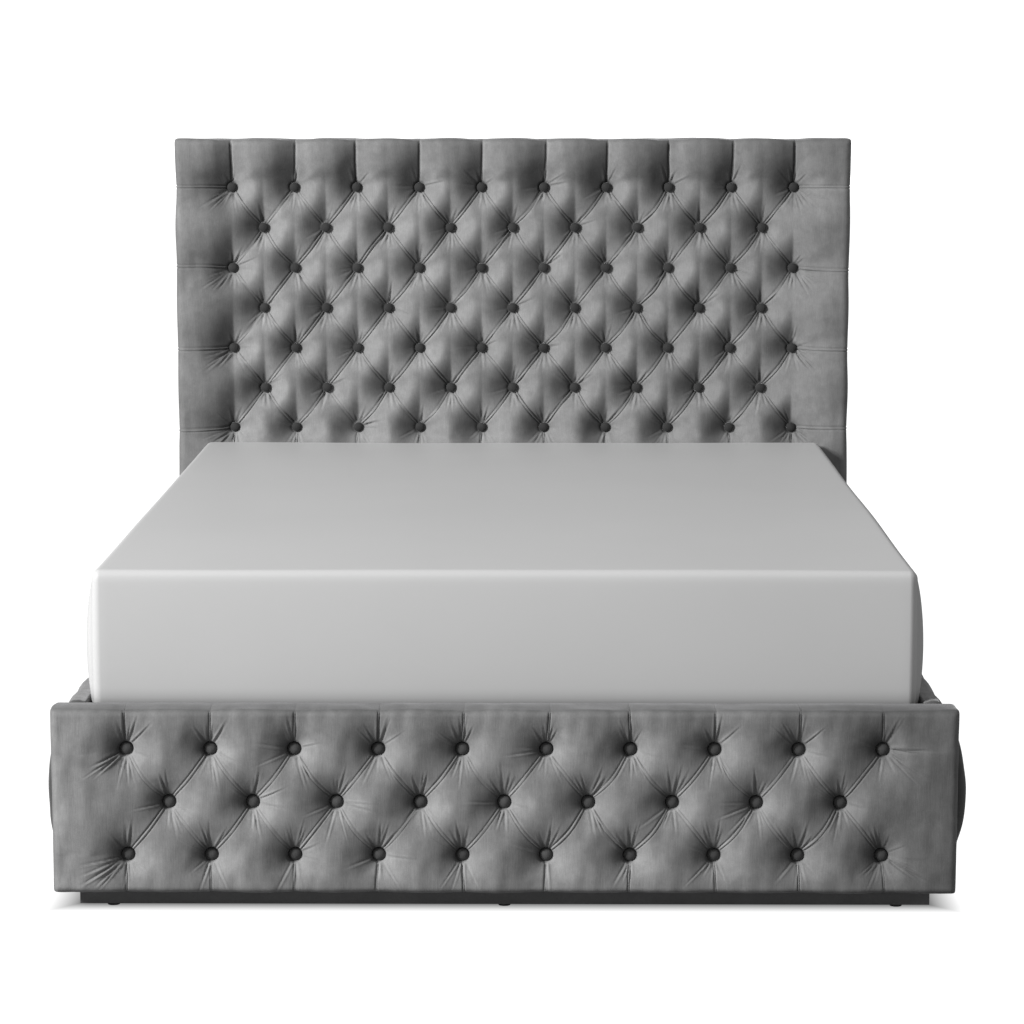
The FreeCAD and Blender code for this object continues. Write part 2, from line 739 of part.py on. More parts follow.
def build_side_rails():
    ledge_holes = ledge_rods(
        "ledge_screw_holes",
        "railInner - ledgeDepth",
        [("screwRadius + fitGap", "-1", "ledgeDepth + screwGrip + 1")],
    )
    bracket_holes = bracket_rods(
        "bracket_screw_holes", "railInner", [("screwRadius + fitGap", "-5", "screwGrip + 1")]
    )
    height = f"{TIMBER_TOP_FOOT} - ({TIMBER_BOTTOM})"
    board = box("rail_board", "railInner", RAIL_START, TIMBER_BOTTOM, "railBoard", RAIL_LENGTH, height)
    twine_end = "railCrest - railInner - toggleRecess"
    twine_holes = RAIL_PANEL.holes("twineHole", "railDimple", f"{twine_end} + 1", "rail_board_hole")
    recesses = RAIL_PANEL.holes(
        "toggleRadius + 1", twine_end, f"{twine_end} + toggleRecess + 1", "rail_board_recess"
    )
    drilled = cut("rail_board_drilled", board, *twine_holes)
    drilled = cut("rail_board_recessed", drilled, *recesses)
    drilled = cut("rail_board_piloted", drilled, ledge_holes, bracket_holes)

    foam = rail_shape("rail_foam_body", FOAM_SKIN, "railInner + railBoard")
    RAIL_PANEL.dimples(foam, FOAM_SKIN, "twineHole", "railDimple + railBoard")

    outside = rail_shape("rail_cover_outside", "0", "railInner - coverThickness")
    RAIL_PANEL.dimples(outside, "0", "twineRadius + 0.4", "coverThickness + 2")
    inside = rail_shape("rail_cover_inside", "coverThickness", "railInner")
    RAIL_PANEL.dimples(inside, "coverThickness")
    window = box(
        "rail_cover_window",
        "railInner - 2 * coverThickness", f"{RAIL_START} - 1", "panelBottom + hemWidth",
        "2 * coverThickness", f"{RAIL_LENGTH} + 2", "railTop - panelBottom - 2 * hemWidth",
    )
    cover = cut("rail_cover_hemmed", cut("rail_cover_shell", outside, inside), window)
    ledge = box(
        "rail_ledge", "railInner - ledgeDepth", f"{RAIL_START} + ledgeInset", "ledgeTop - ledgeHeight",
        "ledgeDepth", f"{RAIL_LENGTH} - 2 * ledgeInset", "ledgeHeight",
    )
    ledge = cut("rail_ledge_drilled", ledge, ledge_holes)
    pieces = [
        ("side_rail_board", drilled),
        ("side_rail_foam", foam),
        ("side_rail_cover", cover),
        ("side_rail_buttons", RAIL_PANEL.buttons()),
        ("slat_ledge", ledge),
    ]
    for label, piece in pieces:
        left = mirrored(label + "_mirror", piece, ACROSS)
        keep(piece, label + "_right")
        keep(left, label + "_left")
    ties = RAIL_PANEL.ties(f"{twine_end}")
    keep(group("rail_ties", ties, mirrored("rail_ties_left", ties, ACROSS)), "side_rail_button_ties")

    head = "screwHeadHeight"
    ledge_screws = ledge_rods(
        "ledge_screws",
        f"railInner - ledgeDepth - {head}",
        [("screwHead", "0", head), ("screwRadius", head, f"{head} + ledgeDepth + screwGrip")],
    )
    bracket_screws = bracket_rods(
        "bracket_screws",
        f"railInner - steelThickness - {head}",
        [("screwHead", "0", head), ("screwRadius", head, f"{head} + steelThickness + screwGrip")],
    )
    right = group("rail_screws_right", ledge_screws, bracket_screws)
    keep(group("rail_screws_all", right, mirrored("rail_screws_left", right, ACROSS)), "rail_screws")


# ---------------------------------------------------------------- corner brackets and their bolts


def build_corner_hardware():
    body = new_body("corner_bracket")
    near, far = RAIL_START, f"{RAIL_START} + bracketLeg"
    inner = "railInner - bracketLeg"
    corners = [
        ("railInner", near), ("railInner", far), ("railInner - steelThickness", far),
        ("railInner - steelThickness", f"{near} + steelThickness"), (inner, f"{near} + steelThickness"), (
            inner, near
        ),
    ]
    extrude(
        body,
        outline(body, "bracket_outline", "XY_Plane", corners),
        "bracketHeight",
        False,
        "bracketBottom",
    )
    bolt_holes = bolt_rods(
        "bracket_bolt_holes",
        TOWARDS_FOOT,
        RAIL_START,
        [("boltRadius + 0.5", "-steelThickness - 1", "1")],
    )
    screw_holes = bracket_rods(
        "bracket_plate_holes",
        "railInner - steelThickness",
        [("screwRadius + 0.3", "-1", "steelThickness + 1")],
    )
    foot_right = cut("bracket_foot_right", body, bolt_holes, screw_holes)
    right = group(
        "brackets_right", foot_right, mirrored("bracket_head_right", foot_right, ALONG, RAIL_MIDDLE)
    )
    keep(group("brackets_all", right, mirrored("brackets_left", right, ACROSS)), "corner_brackets")

    grip_foot = "steelThickness + coverThickness + insertDepth"
    grip_head = "steelThickness + coverThickness + boardThickness + insertDepth - 1"
    bolts = [
        bolt_rods(
            "foot_bolts",
            TOWARDS_FOOT,
            f"{RAIL_START} + steelThickness + boltHeadHeight",
            [
                ("boltHead", "0", "boltHeadHeight"),
                ("boltRadius", "boltHeadHeight", f"boltHeadHeight + {grip_foot} - 1"),
            ],
            True,
        ),
        bolt_rods(
            "head_bolts",
            TOWARDS_HEAD,
            f"{RAIL_END} - steelThickness - boltHeadHeight",
            [
                ("boltHead", "0", "boltHeadHeight"),
                ("boltRadius", "boltHeadHeight", f"boltHeadHeight + {grip_head}"),
            ],
            True,
        ),
    ]
    keep(group("frame_bolts_all", *bolts), "frame_bolts")
    solid = [
        bolt_rods(
            "foot_insert_rods",
            TOWARDS_FOOT,
            f"{RAIL_START} - coverThickness",
            [("insertRadius", "0", "insertDepth")],
        ),
        bolt_rods(
            "head_insert_rods", TOWARDS_HEAD, HEAD_TIMBER_FRONT, [("insertRadius", "0", "insertDepth")]
        ),
    ]
    bores = [
        bolt_rods(
            "foot_insert_bores",
            TOWARDS_FOOT,
            f"{RAIL_START} - coverThickness",
            [("boltRadius + fitGap", "-1", "insertDepth + 1")],
        ),
        bolt_rods(
            "head_insert_bores",
            TOWARDS_HEAD,
            HEAD_TIMBER_FRONT,
            [("boltRadius + fitGap", "-1", "insertDepth + 1")],
        ),
    ]
    inserts = [cut(f"inserts_{i}", rod, bore) for i, (rod, bore) in enumerate(zip(solid, bores))]
    keep(group("threaded_inserts_all", *inserts), "threaded_inserts")


# ---------------------------------------------------------------- centre beam, legs and slats


def build_centre_beam():
    low_x = "-beamWidth / 2"
    beam_bottom = "ledgeTop - beamHeight"
    start, end = f"{RAIL_START} + beamGap", f"{RAIL_END} - beamGap"
    leg_steps = [("Y", "legSpacing", "3")]
    screw_steps = [("Y", "legSpacing", "3")]
    beam = box(
        "centre_beam_box", low_x, start, beam_bottom, "beamWidth", f"({end}) - ({start})", "beamHeight"
    )

    def leg_screws(name, sign, radius, head, start_at, end_at):
        y = f"-legSpacing + {RAIL_MIDDLE} + ({sign}) * legScrewReach"
        z = f"{beam_bottom} - legFlangeHeight - screwHeadHeight"
        segments = [(radius, start_at, end_at)]
        if head:
            segments.insert(0, ("screwHead", "0", "screwHeadHeight"))
        return rods(name, None, "0", y, z, segments, screw_steps)

    pilot_end = "screwHeadHeight + legFlangeHeight + screwGrip"
    pilots = [
        leg_screws(f"leg_pilot_{s}", s, "screwRadius + fitGap", False, "1", f"{pilot_end} + 1")
        for s in (-1, 1)
    ]
    keep(cut("centre_beam_piloted", beam, *pilots), "centre_beam")

    # one hanger: a back plate, a floor and two ears that the beam drops between
    plate = box(
        "hanger_plate",
        "-hangerWidth / 2",
        RAIL_START,
        HANGER_BOTTOM,
        "hangerWidth",
        "hangerSteel",
        "hangerHeight",
    )
    seat = box(
        "hanger_seat", "-beamWidth / 2 - foamGap - hangerSteel",
        f"{RAIL_START} + hangerSteel", f"{beam_bottom} - hangerSteel",
        "beamWidth + 2 * (foamGap + hangerSteel)", "hangerReach", "hangerWall",
    )
    hollow = box(
        "hanger_hollow", "-beamWidth / 2 - foamGap", f"{RAIL_START} + hangerSteel", beam_bottom,
        "beamWidth + 2 * foamGap", "hangerReach + 1", "hangerWall",
    )
    whole = doc.addObject("Part::Fuse", "hanger_whole")
    whole.Base, whole.Tool = plate, cut("hanger_ears", seat, hollow)
    holes = hanger_rods(
        "hanger_plate_holes",
        TOWARDS_FOOT,
        f"{RAIL_START} + hangerSteel",
        [("screwRadius + 0.3", "-1", "hangerSteel + 1")],
    )
    foot_hanger = cut("hanger_foot", whole, holes)
    keep(
        group("hangers_all", foot_hanger, mirrored("hanger_head", foot_hanger, ALONG, RAIL_MIDDLE)),
        "beam_hangers",
    )
    hanger_screws = []
    for name, turn, face, sign, grip in (
        ("foot", TOWARDS_FOOT, RAIL_START, "+", "hangerGripFoot"),
        ("head", TOWARDS_HEAD, RAIL_END, "-", "hangerGripHead"),
    ):
        start = f"{face} {sign} (hangerSteel + screwHeadHeight)"
        shank = ("screwRadius", "screwHeadHeight", f"screwHeadHeight + hangerSteel + {grip}")
        screws = [("screwHead", "0", "screwHeadHeight"), shank]
        hanger_screws.append(hanger_rods(f"{name}_hanger_screws", turn, start, screws))
    feet = [
        leg_screws(f"leg_screws_{s}", s, "screwRadius", True, "screwHeadHeight", pilot_end)
        for s in (-1, 1)
    ]
    keep(group("beam_screws_all", *hanger_screws, *feet), "beam_screws")

    y = f"-legSpacing + {RAIL_MIDDLE}"
    legs = rods(
        "legs_solid",
        None,
        "0",
        y,
        "0",
        [
            ("legRadius", "legBottom", beam_bottom),
            ("legFlange", f"{beam_bottom} - legFlangeHeight", beam_bottom),
        ],
        leg_steps,
    )
    bores = rods(
        "leg_bores", None, "0", y, "0", [("stemRadius + fitGap", "legBottom - 1", "stemBore")], leg_steps
    )
    passages = [
        leg_screws(f"leg_flange_holes_{s}", s, "screwRadius + 0.3", False, "1", pilot_end)
        for s in (-1, 1)
    ]
    keep(cut("legs_bored", legs, bores, *passages), "centre_legs")
    for i, name in enumerate(("foot", "middle", "head")):
        at = f"({i - 1}) * legSpacing + {RAIL_MIDDLE}"
        foot = rods(
            f"levelling_{name}",
            None,
            "0",
            at,
            "0",
            [("footRadius", "0", "footHeight"), ("stemRadius", "footHeight", "stemTop")],
        )
        keep(foot, f"levelling_foot_{name}")


def slat_profile(body):
    """A bowed slat seen along its width: two arcs of one radius, joined by short upright ends."""
    half_span = "(slatOuterEnd - slatInnerEnd) / 2"
    radius = f"((({half_span}) ^ 2 + slatBow ^ 2) / (2 * slatBow))"
    sketch = body.newObject("Sketcher::SketchObject", "slat_profile")
    sketch.AttachmentSupport = [(origin_feature(body, "XZ_Plane"), "")]
    sketch.MapMode = "FlatFace"
    outer = FreeCAD.Vector(size("slatOuterEnd"), size("slatEndHeight"), 0)
    inner = FreeCAD.Vector(size("slatInnerEnd"), size("slatEndHeight"), 0)
    crown = (outer + inner) * 0.5 + FreeCAD.Vector(0, size("slatBow"), 0)
    lift = FreeCAD.Vector(0, size("slatThickness"), 0)
    sketch.addGeometry(Part.Arc(outer, crown, inner))
    sketch.addGeometry(Part.Arc(outer + lift, crown + lift, inner + lift))
    sketch.addGeometry(Part.LineSegment(outer, outer + lift))
    sketch.addGeometry(Part.LineSegment(inner, inner + lift))
    for arc, line, arc_end, line_end in ((0, 2, 1, 1), (0, 3, 2, 1), (1, 2, 1, 2), (1, 3, 2, 2)):
        sketch.addConstraint(Sketcher.Constraint("Coincident", arc, arc_end, line, line_end))
    bound = []
    for line, end in ((2, "slatOuterEnd"), (3, "slatInnerEnd")):
        sketch.addConstraint(Sketcher.Constraint("Vertical", line))
        bound += [
            (("DistanceX", -1, 1, line, 1), end),
            (("DistanceY", -1, 1, line, 1), "slatEndHeight"),
            (("Distance", line), "slatThickness"),
        ]
    bound += [(("Radius", arc), radius) for arc in (0, 1)]
    for kind, formula in bound:
        n = sketch.addConstraint(Sketcher.Constraint(*kind, size(formula)))
        sketch.setExpression(f"Constraints[{n}]", cells(formula))
    sketch.setExpression("AttachmentOffset.Base.z", cells("-(firstSlat - slatWidth / 2)"))
    return sketch


def build_slats():
    body = new_body("slats_right")
    sketch = slat_profile(body)
    solid = body.newObject("PartDesign::Pad", "Pad")
    solid.Profile = sketch
    solid.Reversed = True
    bind(solid, Length="slatWidth")
    steps = [("Y", "slatPitch", "slatCount")]
    repeat(body, solid, steps)
    keep(body, "slats_right")
    keep(mirrored("slats_left", body, ACROSS), "slats_left")

    cap_y = "firstSlat - capWidth / 2"
    slot_y, slot_width = "firstSlat - slatWidth / 2 - foamGap", "slatWidth + 2 * foamGap"
    slot_z = "ledgeTop + capFloor"
    outer_low = "railInner - foamGap - capDepth"
    caps = blocks(
        "end_cap_blocks", outer_low, cap_y, "ledgeTop", "capDepth", "capWidth", "capHeight", steps
    )
    slots = blocks(
        "end_cap_slots",
        f"{outer_low} - 1",
        slot_y,
        slot_z,
        f"slatOuterEnd + 1 - ({outer_low})",
        slot_width,
        "capSlot",
        steps,
    )
    right = cut("end_caps_right", caps, slots)
    keep(group("end_caps_all", right, mirrored("end_caps_left", right, ACROSS)), "slat_end_caps")
    middle_caps = blocks(
        "centre_cap_blocks",
        "-centreCapHalf",
        cap_y,
        "ledgeTop",
        "2 * centreCapHalf",
        "capWidth",
        "capHeight",
        steps,
    )
    right_slots = blocks(
        "centre_cap_slots_right",
        "slatInnerEnd - 2",
        slot_y,
        slot_z,
        "centreCapHalf",
        slot_width,
        "capSlot",
        steps,
    )
    left_slots = mirrored("centre_cap_slots_left", right_slots, ACROSS)
    keep(cut("centre_caps", middle_caps, right_slots, left_slots), "slat_centre_caps")


# ---------------------------------------------------------------- plinth and glides


def build_plinth():
    outer_x = "bedWidth / 2 - plinthSetback"
    front = f"{FOOT_CREST} + plinthSetback"
    rear = f"{HEAD_TIMBER_BACK} - plinthThickness - 10"
    tall = "panelBottom - glideHeight"
    for label, y in (("plinth_front", front), ("plinth_rear", rear)):
        keep(
            box(label, f"-({outer_x})", y, "glideHeight", f"2 * ({outer_x})", "plinthThickness", tall),
            label,
        )
    side_start = f"{front} + plinthThickness"
    for label, x in (("plinth_left", f"-({outer_x})"), ("plinth_right", f"{outer_x} - plinthThickness")):
        keep(
            box(
                label,
                x,
                side_start,
                "glideHeight",
                "plinthThickness",
                f"({rear}) - ({side_start})",
                tall,
            ),
            label,
        )
    reach = f"({outer_x} - 60)"
    glide = [("glideRadius", "0", "glideHeight")]
    rows = [
        rods(
            "end_glides",
            None,
            f"-{reach}",
            f"{front} + plinthThickness / 2 + 3",
            "0",
            glide,
            [("X", reach, "3"), ("Y", f"({rear}) - ({front}) - 6", "2")],
        ),
        rods(
            "side_glides",
            None,
            f"-({outer_x}) + glideRadius",
            f"{RAIL_MIDDLE} - legSpacing / 2",
            "0",
            glide,
            [("X", f"2 * ({outer_x} - glideRadius)", "2"), ("Y", "legSpacing", "2")],
        ),
    ]
    keep(group("glides_all", *rows), "floor_glides")


# ---------------------------------------------------------------- the mattress

MATTRESS_MIDDLE = f"(({RAIL_START}) + ({HEAD_CREST})) / 2"


def rounded_block(name, shrink, z, height, corner):
    """A block round the mattress's middle, taken in by shrink on its four sides, with round corners."""
    body = new_body(name)
    half_x, half_y = f"(mattressWidth / 2 - ({shrink}))", f"(mattressLength / 2 - ({shrink}))"
    low, high = f"{MATTRESS_MIDDLE} - {half_y}", f"{MATTRESS_MIDDLE} + {half_y}"
    corners = [(f"-{half_x}", low), (half_x, low), (half_x, high), (f"-{half_x}", high)]
    solid = extrude(body, outline(body, name + "_outline", "XY_Plane", corners), height, False, z)
    round_edges(
        body, solid, corner, lambda middle, edge: abs(edge.BoundBox.ZLength - size(height)) < 0.01
    )
    return body


def ring(name, outside, inside, z, height, corner_out, corner_in):
    whole = rounded_block(name + "_outer", outside, z, height, corner_out)
    hollow = rounded_block(name + "_inner", inside, f"{z} - 1", f"{height} + 2", corner_in)
    return cut(name, whole, hollow)


def build_mattress():
    skin = "coverThickness"
    low, high = f"mattressBase + {skin}", f"mattressTop - {skin}"
    core_low = f"{low} + comfortLayer"
    core_tall = f"({high}) - ({low}) - 2 * comfortLayer"
    inner = f"{skin} + surroundWidth"
    keep(
        rounded_block("spring_unit", inner, core_low, core_tall, "mattressCorner / 3"),
        "mattress_spring_unit",
    )
    surround = ring(
        "surround", skin, inner, core_low, core_tall, f"mattressCorner - {skin}", "mattressCorner / 3"
    )
    between = f"2 * (mattressWidth / 2 - ({inner}))"
    middle = box(
        "between_sides",
        f"-({between}) / 2",
        f"{MATTRESS_MIDDLE} - mattressLength",
        core_low,
        between,
        "2 * mattressLength",
        core_tall,
    )
    ends = doc.addObject("Part::Common", "edge_rail_ends")
    ends.Base, ends.Tool = surround, middle
    keep(group("edge_rails_all", cut("edge_rail_sides", surround, middle), ends), "mattress_edge_rails")
    layers = [
        rounded_block(f"comfort_layer_{i}", skin, z, "comfortLayer", f"mattressCorner - {skin}")
        for i, z in enumerate((low, f"{high} - comfortLayer"))
    ]
    keep(group("comfort_layers_all", *layers), "mattress_comfort_layers")
    panels = [
        rounded_block(f"ticking_panel_{i}", "0", z, skin, "mattressCorner")
        for i, z in enumerate(("mattressBase", high))
    ]
    border = ring(
        "ticking_border",
        "0",
        skin,
        low,
        f"({high}) - ({low})",
        "mattressCorner",
        f"mattressCorner - {skin}",
    )
    keep(group("ticking_all", *panels, border), "mattress_ticking")

    cloth = "sheetThickness"
    outside = rounded_block(
        "sheet_outside",
        f"-{cloth}",
        f"mattressBase - {cloth}",
        f"mattressTop - mattressBase + 2 * {cloth}",
        f"mattressCorner + {cloth}",
    )
    inside = rounded_block(
        "sheet_inside", "0", "mattressBase", "mattressTop - mattressBase", "mattressCorner"
    )
    opening = rounded_block(
        "sheet_opening", "sheetHem", f"mattressBase - 2 * {cloth}", f"3 * {cloth}", "mattressCorner"
    )
    keep(cut("sheet_hemmed", cut("sheet_shell", outside, inside), opening), "fitted_sheet")


# ---------------------------------------------------------------- build, check and write


def check_and_write():
    doc.recompute()
    bad = [o.Label for o in doc.Objects if {"Invalid", "Error"} & set(o.State)]
    if bad:
        raise RuntimeError(f"these objects failed: {bad}")
    os.makedirs("parts", exist_ok=True)
    for node in NODES:
        shape = node.Shape
        if shape.isNull() or not shape.isValid() or not shape.Solids:
            raise RuntimeError(f"{node.Label} has no valid solid")
        shape.exportStep(os.path.join("parts", node.Label + ".step"))
    print(len(NODES), "sub-parts")


build_headboard()
build_footboard()
build_side_rails()
build_corner_hardware()
build_centre_beam()
build_slats()
build_plinth()
build_mattress()
check_and_write()
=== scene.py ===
import bpy
import math
import numpy as np
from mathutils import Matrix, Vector


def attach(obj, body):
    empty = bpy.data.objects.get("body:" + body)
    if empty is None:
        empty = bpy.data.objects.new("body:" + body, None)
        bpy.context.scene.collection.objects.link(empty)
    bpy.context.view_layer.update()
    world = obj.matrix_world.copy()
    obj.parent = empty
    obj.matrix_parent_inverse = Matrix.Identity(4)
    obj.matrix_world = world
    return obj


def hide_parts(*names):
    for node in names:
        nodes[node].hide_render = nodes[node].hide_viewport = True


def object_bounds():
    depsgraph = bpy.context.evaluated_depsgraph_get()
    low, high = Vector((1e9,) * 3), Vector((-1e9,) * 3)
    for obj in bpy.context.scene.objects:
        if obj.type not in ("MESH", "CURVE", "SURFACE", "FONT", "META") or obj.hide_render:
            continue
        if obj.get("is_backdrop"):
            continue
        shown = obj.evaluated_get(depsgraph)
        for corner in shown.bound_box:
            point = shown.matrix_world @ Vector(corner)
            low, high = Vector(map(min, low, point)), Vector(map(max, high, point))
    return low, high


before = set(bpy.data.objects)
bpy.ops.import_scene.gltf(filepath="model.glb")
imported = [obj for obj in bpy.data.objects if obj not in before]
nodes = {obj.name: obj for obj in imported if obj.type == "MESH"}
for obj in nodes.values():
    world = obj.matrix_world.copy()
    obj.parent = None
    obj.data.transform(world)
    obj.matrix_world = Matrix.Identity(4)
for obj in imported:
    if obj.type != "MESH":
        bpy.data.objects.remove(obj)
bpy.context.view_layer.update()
print("frame loaded")


# a material with its shader, and the object coordinates it is drawn on
def newMaterial(name, roughness, metallic=0.0):
    material = bpy.data.materials.new(name)
    material.use_nodes = True
    shader = material.node_tree.nodes["Principled BSDF"]
    shader.inputs["Roughness"].default_value = roughness
    shader.inputs["Metallic"].default_value = metallic
    return material, shader


def addNode(material, kind, links=None, **values):
    node = material.node_tree.nodes.new(kind)
    for key, value in values.items():
        setattr(node, key, value)
    for key, value in (links or {}).items():
        if isinstance(value, bpy.types.NodeSocket):
            material.node_tree.links.new(value, node.inputs[key])
        else:
            node.inputs[key].default_value = value
    return node


# object coordinates, stretched
def stretched(material, scale):
    where = addNode(material, "ShaderNodeTexCoord").outputs["Object"]
    return addNode(material, "ShaderNodeMapping", {"Vector": where, "Scale": scale}).outputs["Vector"]


# a noise on stretched object coordinates: its value, around 0.5
def noise(material, scale, size, detail=3.0, rough=0.5):
    return addNode(
        material, "ShaderNodeTexNoise",
        {"Vector": stretched(material, scale), "Scale": size, "Detail": detail, "Roughness": rough},
    ).outputs["Fac"]


def ramp(material, value, low, high, fromLow=0.3, fromHigh=0.7):
    return addNode(
        material, "ShaderNodeMapRange",
        {"Value": value, "From Min": fromLow, "From Max": fromHigh, "To Min": low, "To Max": high},
    ).outputs["Result"]


def product(material, *values):
    found = values[0]
    for value in values[1:]:
        found = addNode(material, "ShaderNodeMath", {0: found, 1: value}, operation="MULTIPLY").outputs[
            0
        ]
    return found


def total(material, *values):
    found = values[0]
    for value in values[1:]:
        found = addNode(material, "ShaderNodeMath", {0: found, 1: value}, operation="ADD").outputs[0]
    return found


# a colour of that tint and brightness
def tinted(material, value, tint):
    return addNode(
        material, "ShaderNodeMix",
        {"Factor": value, 6: (0, 0, 0, 1), 7: (*tint, 1)}, data_type="RGBA", clamp_factor=False,
    ).outputs[2]


def setBump(material, shader, height, distance, strength=1.0):
    bump = addNode(
        material, "ShaderNodeBump", {"Height": height, "Distance": distance, "Strength": strength}
    )
    material.node_tree.links.new(bump.outputs["Normal"], shader.inputs["Normal"])


def setColour(material, shader, colour):
    material.node_tree.links.new(colour, shader.inputs["Base Color"])


velvetLook = {
    "tint": (1.0, 1.0, 1.0), "sheen": 0.30, "napAndSlopeShade": 9.0, "brushed": 42.0, "streak": 430.0, "grain": 900.0
}


# grey velvet: a blotchy nap, upright weave streaks, and a soft sheen
def velvet(name, brightness, toned=True):
    look = velvetLook
    material, shader = newMaterial(name, 0.82)
    napAndSlopeShade = ramp(material, noise(material, (1, 1, 1), look["napAndSlopeShade"], 5.0, 0.62), 0.86, 1.14)
    brushed = ramp(material, noise(material, (1, 1, 1), look["brushed"], 4.0, 0.6), 0.90, 1.10)
    streaks = noise(material, (1, 1, 0.09), look["streak"], 2.0)
    streak = ramp(material, streaks, 0.94, 1.06)
    grains = noise(material, (1, 1, 0.6), look["grain"], 1.0)
    grain = ramp(material, grains, 0.93, 1.07)
    # the painted shade and light kept on each point darkens or lightens the colour, unless left untoned
    paintedShadeFactor = addNode(material, "ShaderNodeAttribute", attribute_name="paintedShade").outputs[
        "Fac"
    ] if toned else 1.0
    shade = product(material, napAndSlopeShade, brushed, streak, grain, paintedShadeFactor, brightness)
    setColour(material, shader, tinted(material, shade, look["tint"]))
    setBump(material, shader, total(material, streaks, product(material, grains, 0.5)), 0.0006, 0.5)
    shader.inputs["Sheen Weight"].default_value = look["sheen"]
    shader.inputs["Sheen Roughness"].default_value = 0.35
    shader.inputs["Sheen Tint"].default_value = (0.9, 0.9, 0.92, 1)
    shader.inputs["Specular IOR Level"].default_value = 0.2
    return material


# the smooth light cloth of the fitted sheet
def satin():
    material, shader = newMaterial("satin_sheet", 0.45)
    thread = noise(material, (1, 1, 1), 1400.0, 1.0)
    cloud = ramp(material, noise(material, (1, 1, 1), 2.2, 3.0), 0.985, 1.015)
    # the painted shade kept on each point darkens the sheet's colour
    paintedShadeFactor = addNode(material, "ShaderNodeAttribute", attribute_name="paintedShade").outputs["Fac"]
    setColour(material, shader, tinted(material, product(material, cloud, paintedShadeFactor, 0.42), (1.0, 1.0, 1.0)))
    setBump(material, shader, thread, 0.0001, 0.4)
    shader.inputs["Specular IOR Level"].default_value = 0.2
    shader.inputs["Sheen Weight"].default_value = 0.05
    shader.inputs["Sheen Roughness"].default_value = 0.4
    return material


# plain cloth, with crossed threads
def woven(name, colour, threads, roughness=0.85, depth=0.0004):
    material, shader = newMaterial(name, roughness)
    warp = noise(material, (1, 1, 0.04), threads, 1.0)
    weft = noise(material, (0.04, 0.04, 1), threads, 1.0)
    both = total(material, warp, weft)
    blotch = ramp(material, noise(material, (1, 1, 1), 6.0, 4.0), 0.9, 1.1)
    shade = product(material, ramp(material, both, 0.8, 1.2, 0.7, 1.3), blotch)
    setColour(material, shader, tinted(material, shade, colour))
    setBump(material, shader, both, depth, 0.6)
    return material


# sawn timber with its grain running along one axis
def wood(name, colour, along, rings, contrast, roughness=0.55):
    material, shader = newMaterial(name, roughness)
    scale = [1.0, 1.0, 1.0]
    scale[along] = 0.06
    rough = noise(material, scale, 26.0, 4.0, 0.65)
    wave = addNode(
        material, "ShaderNodeTexWave",
        {
            "Vector": stretched(material, scale),
            "Scale": rings,
            "Distortion": 5.0,
            "Detail": 3.0,
            "Detail Scale": 1.6,
        },
        wave_type="RINGS",
    ).outputs["Fac"]
    fine = noise(material, scale, 420.0, 2.0)
    shade = product(
        material,
        ramp(material, wave, 1.0 - contrast, 1.0 + contrast * 0.4, 0.0, 1.0),
        ramp(material, rough, 0.86, 1.12), ramp(material, fine, 0.93, 1.06),
    )
    setColour(material, shader, tinted(material, shade, colour))
    setBump(material, shader, total(material, fine, rough), 0.0004, 0.5)
    return material


# steel, plastic or painted board, slightly uneven in tone and gloss
def painted(name, colour, roughness, metallic=0.0, mottle=0.12, grain=240.0, depth=0.0002):
    material, shader = newMaterial(name, roughness, metallic)
    cloud = noise(material, (1, 1, 1), 14.0, 5.0, 0.6)
    speck = noise(material, (1, 1, 1), grain, 2.0)
    shade = product(
        material, ramp(material, cloud, 1 - mottle, 1 + mottle), ramp(material, speck, 0.95, 1.05)
    )
    setColour(material, shader, tinted(material, shade, colour))
    gloss = ramp(material, cloud, roughness - 0.06, roughness + 0.08)
    material.node_tree.links.new(gloss, shader.inputs["Roughness"])
    setBump(material, shader, speck, depth, 0.4)
    return material


# plywood: pale faces and thin darker plies
def layered(name, colour):
    material, shader = newMaterial(name, 0.6)
    fine = noise(material, (0.05, 1, 1), 300.0, 3.0)
    broad = noise(material, (0.1, 1, 1), 18.0, 4.0, 0.6)
    shade = product(material, ramp(material, fine, 0.88, 1.08), ramp(material, broad, 0.82, 1.12))
    setColour(material, shader, tinted(material, shade, colour))
    setBump(material, shader, fine, 0.0003, 0.5)
    return material


pineColour = (0.56, 0.37, 0.19)
looks = {
    "velvet": velvet("velvet", 0.155),
    "satin_sheet": satin(),
    "ticking": woven("ticking", (0.62, 0.61, 0.58), 700.0, 0.8),
    "black_cloth": woven("black_cloth", (0.018, 0.018, 0.019), 520.0, 0.9, 0.0006),
    "twine": woven("twine", (0.34, 0.29, 0.20), 1400.0, 0.9),
    "foam": woven("foam", (0.60, 0.56, 0.40), 380.0, 0.95, 0.0012),
    "spring_pockets": woven("spring_pockets", (0.7, 0.7, 0.7), 300.0, 0.9, 0.0006),
    "pine": wood("pine", pineColour, 0, 7.0, 0.28),
    "pine_upright": wood("pine_upright", pineColour, 2, 7.0, 0.28),
    "pine_lengthways": wood("pine_lengthways", pineColour, 1, 7.0, 0.28),
    "beech": wood("beech", (0.60, 0.41, 0.25), 0, 22.0, 0.14, 0.42),
    "plywood": layered("plywood", (0.55, 0.40, 0.24)),
    "black_board": painted("black_board", (0.095, 0.095, 0.096), 0.62, 0.0, 0.15),
    "black_steel": painted("black_steel", (0.028, 0.028, 0.03), 0.42, 0.6),
    "zinc_steel": painted("zinc_steel", (0.62, 0.63, 0.65), 0.3, 1.0),
    "black_plastic": painted("black_plastic", (0.02, 0.02, 0.021), 0.45, 0.0, 0.08),
}
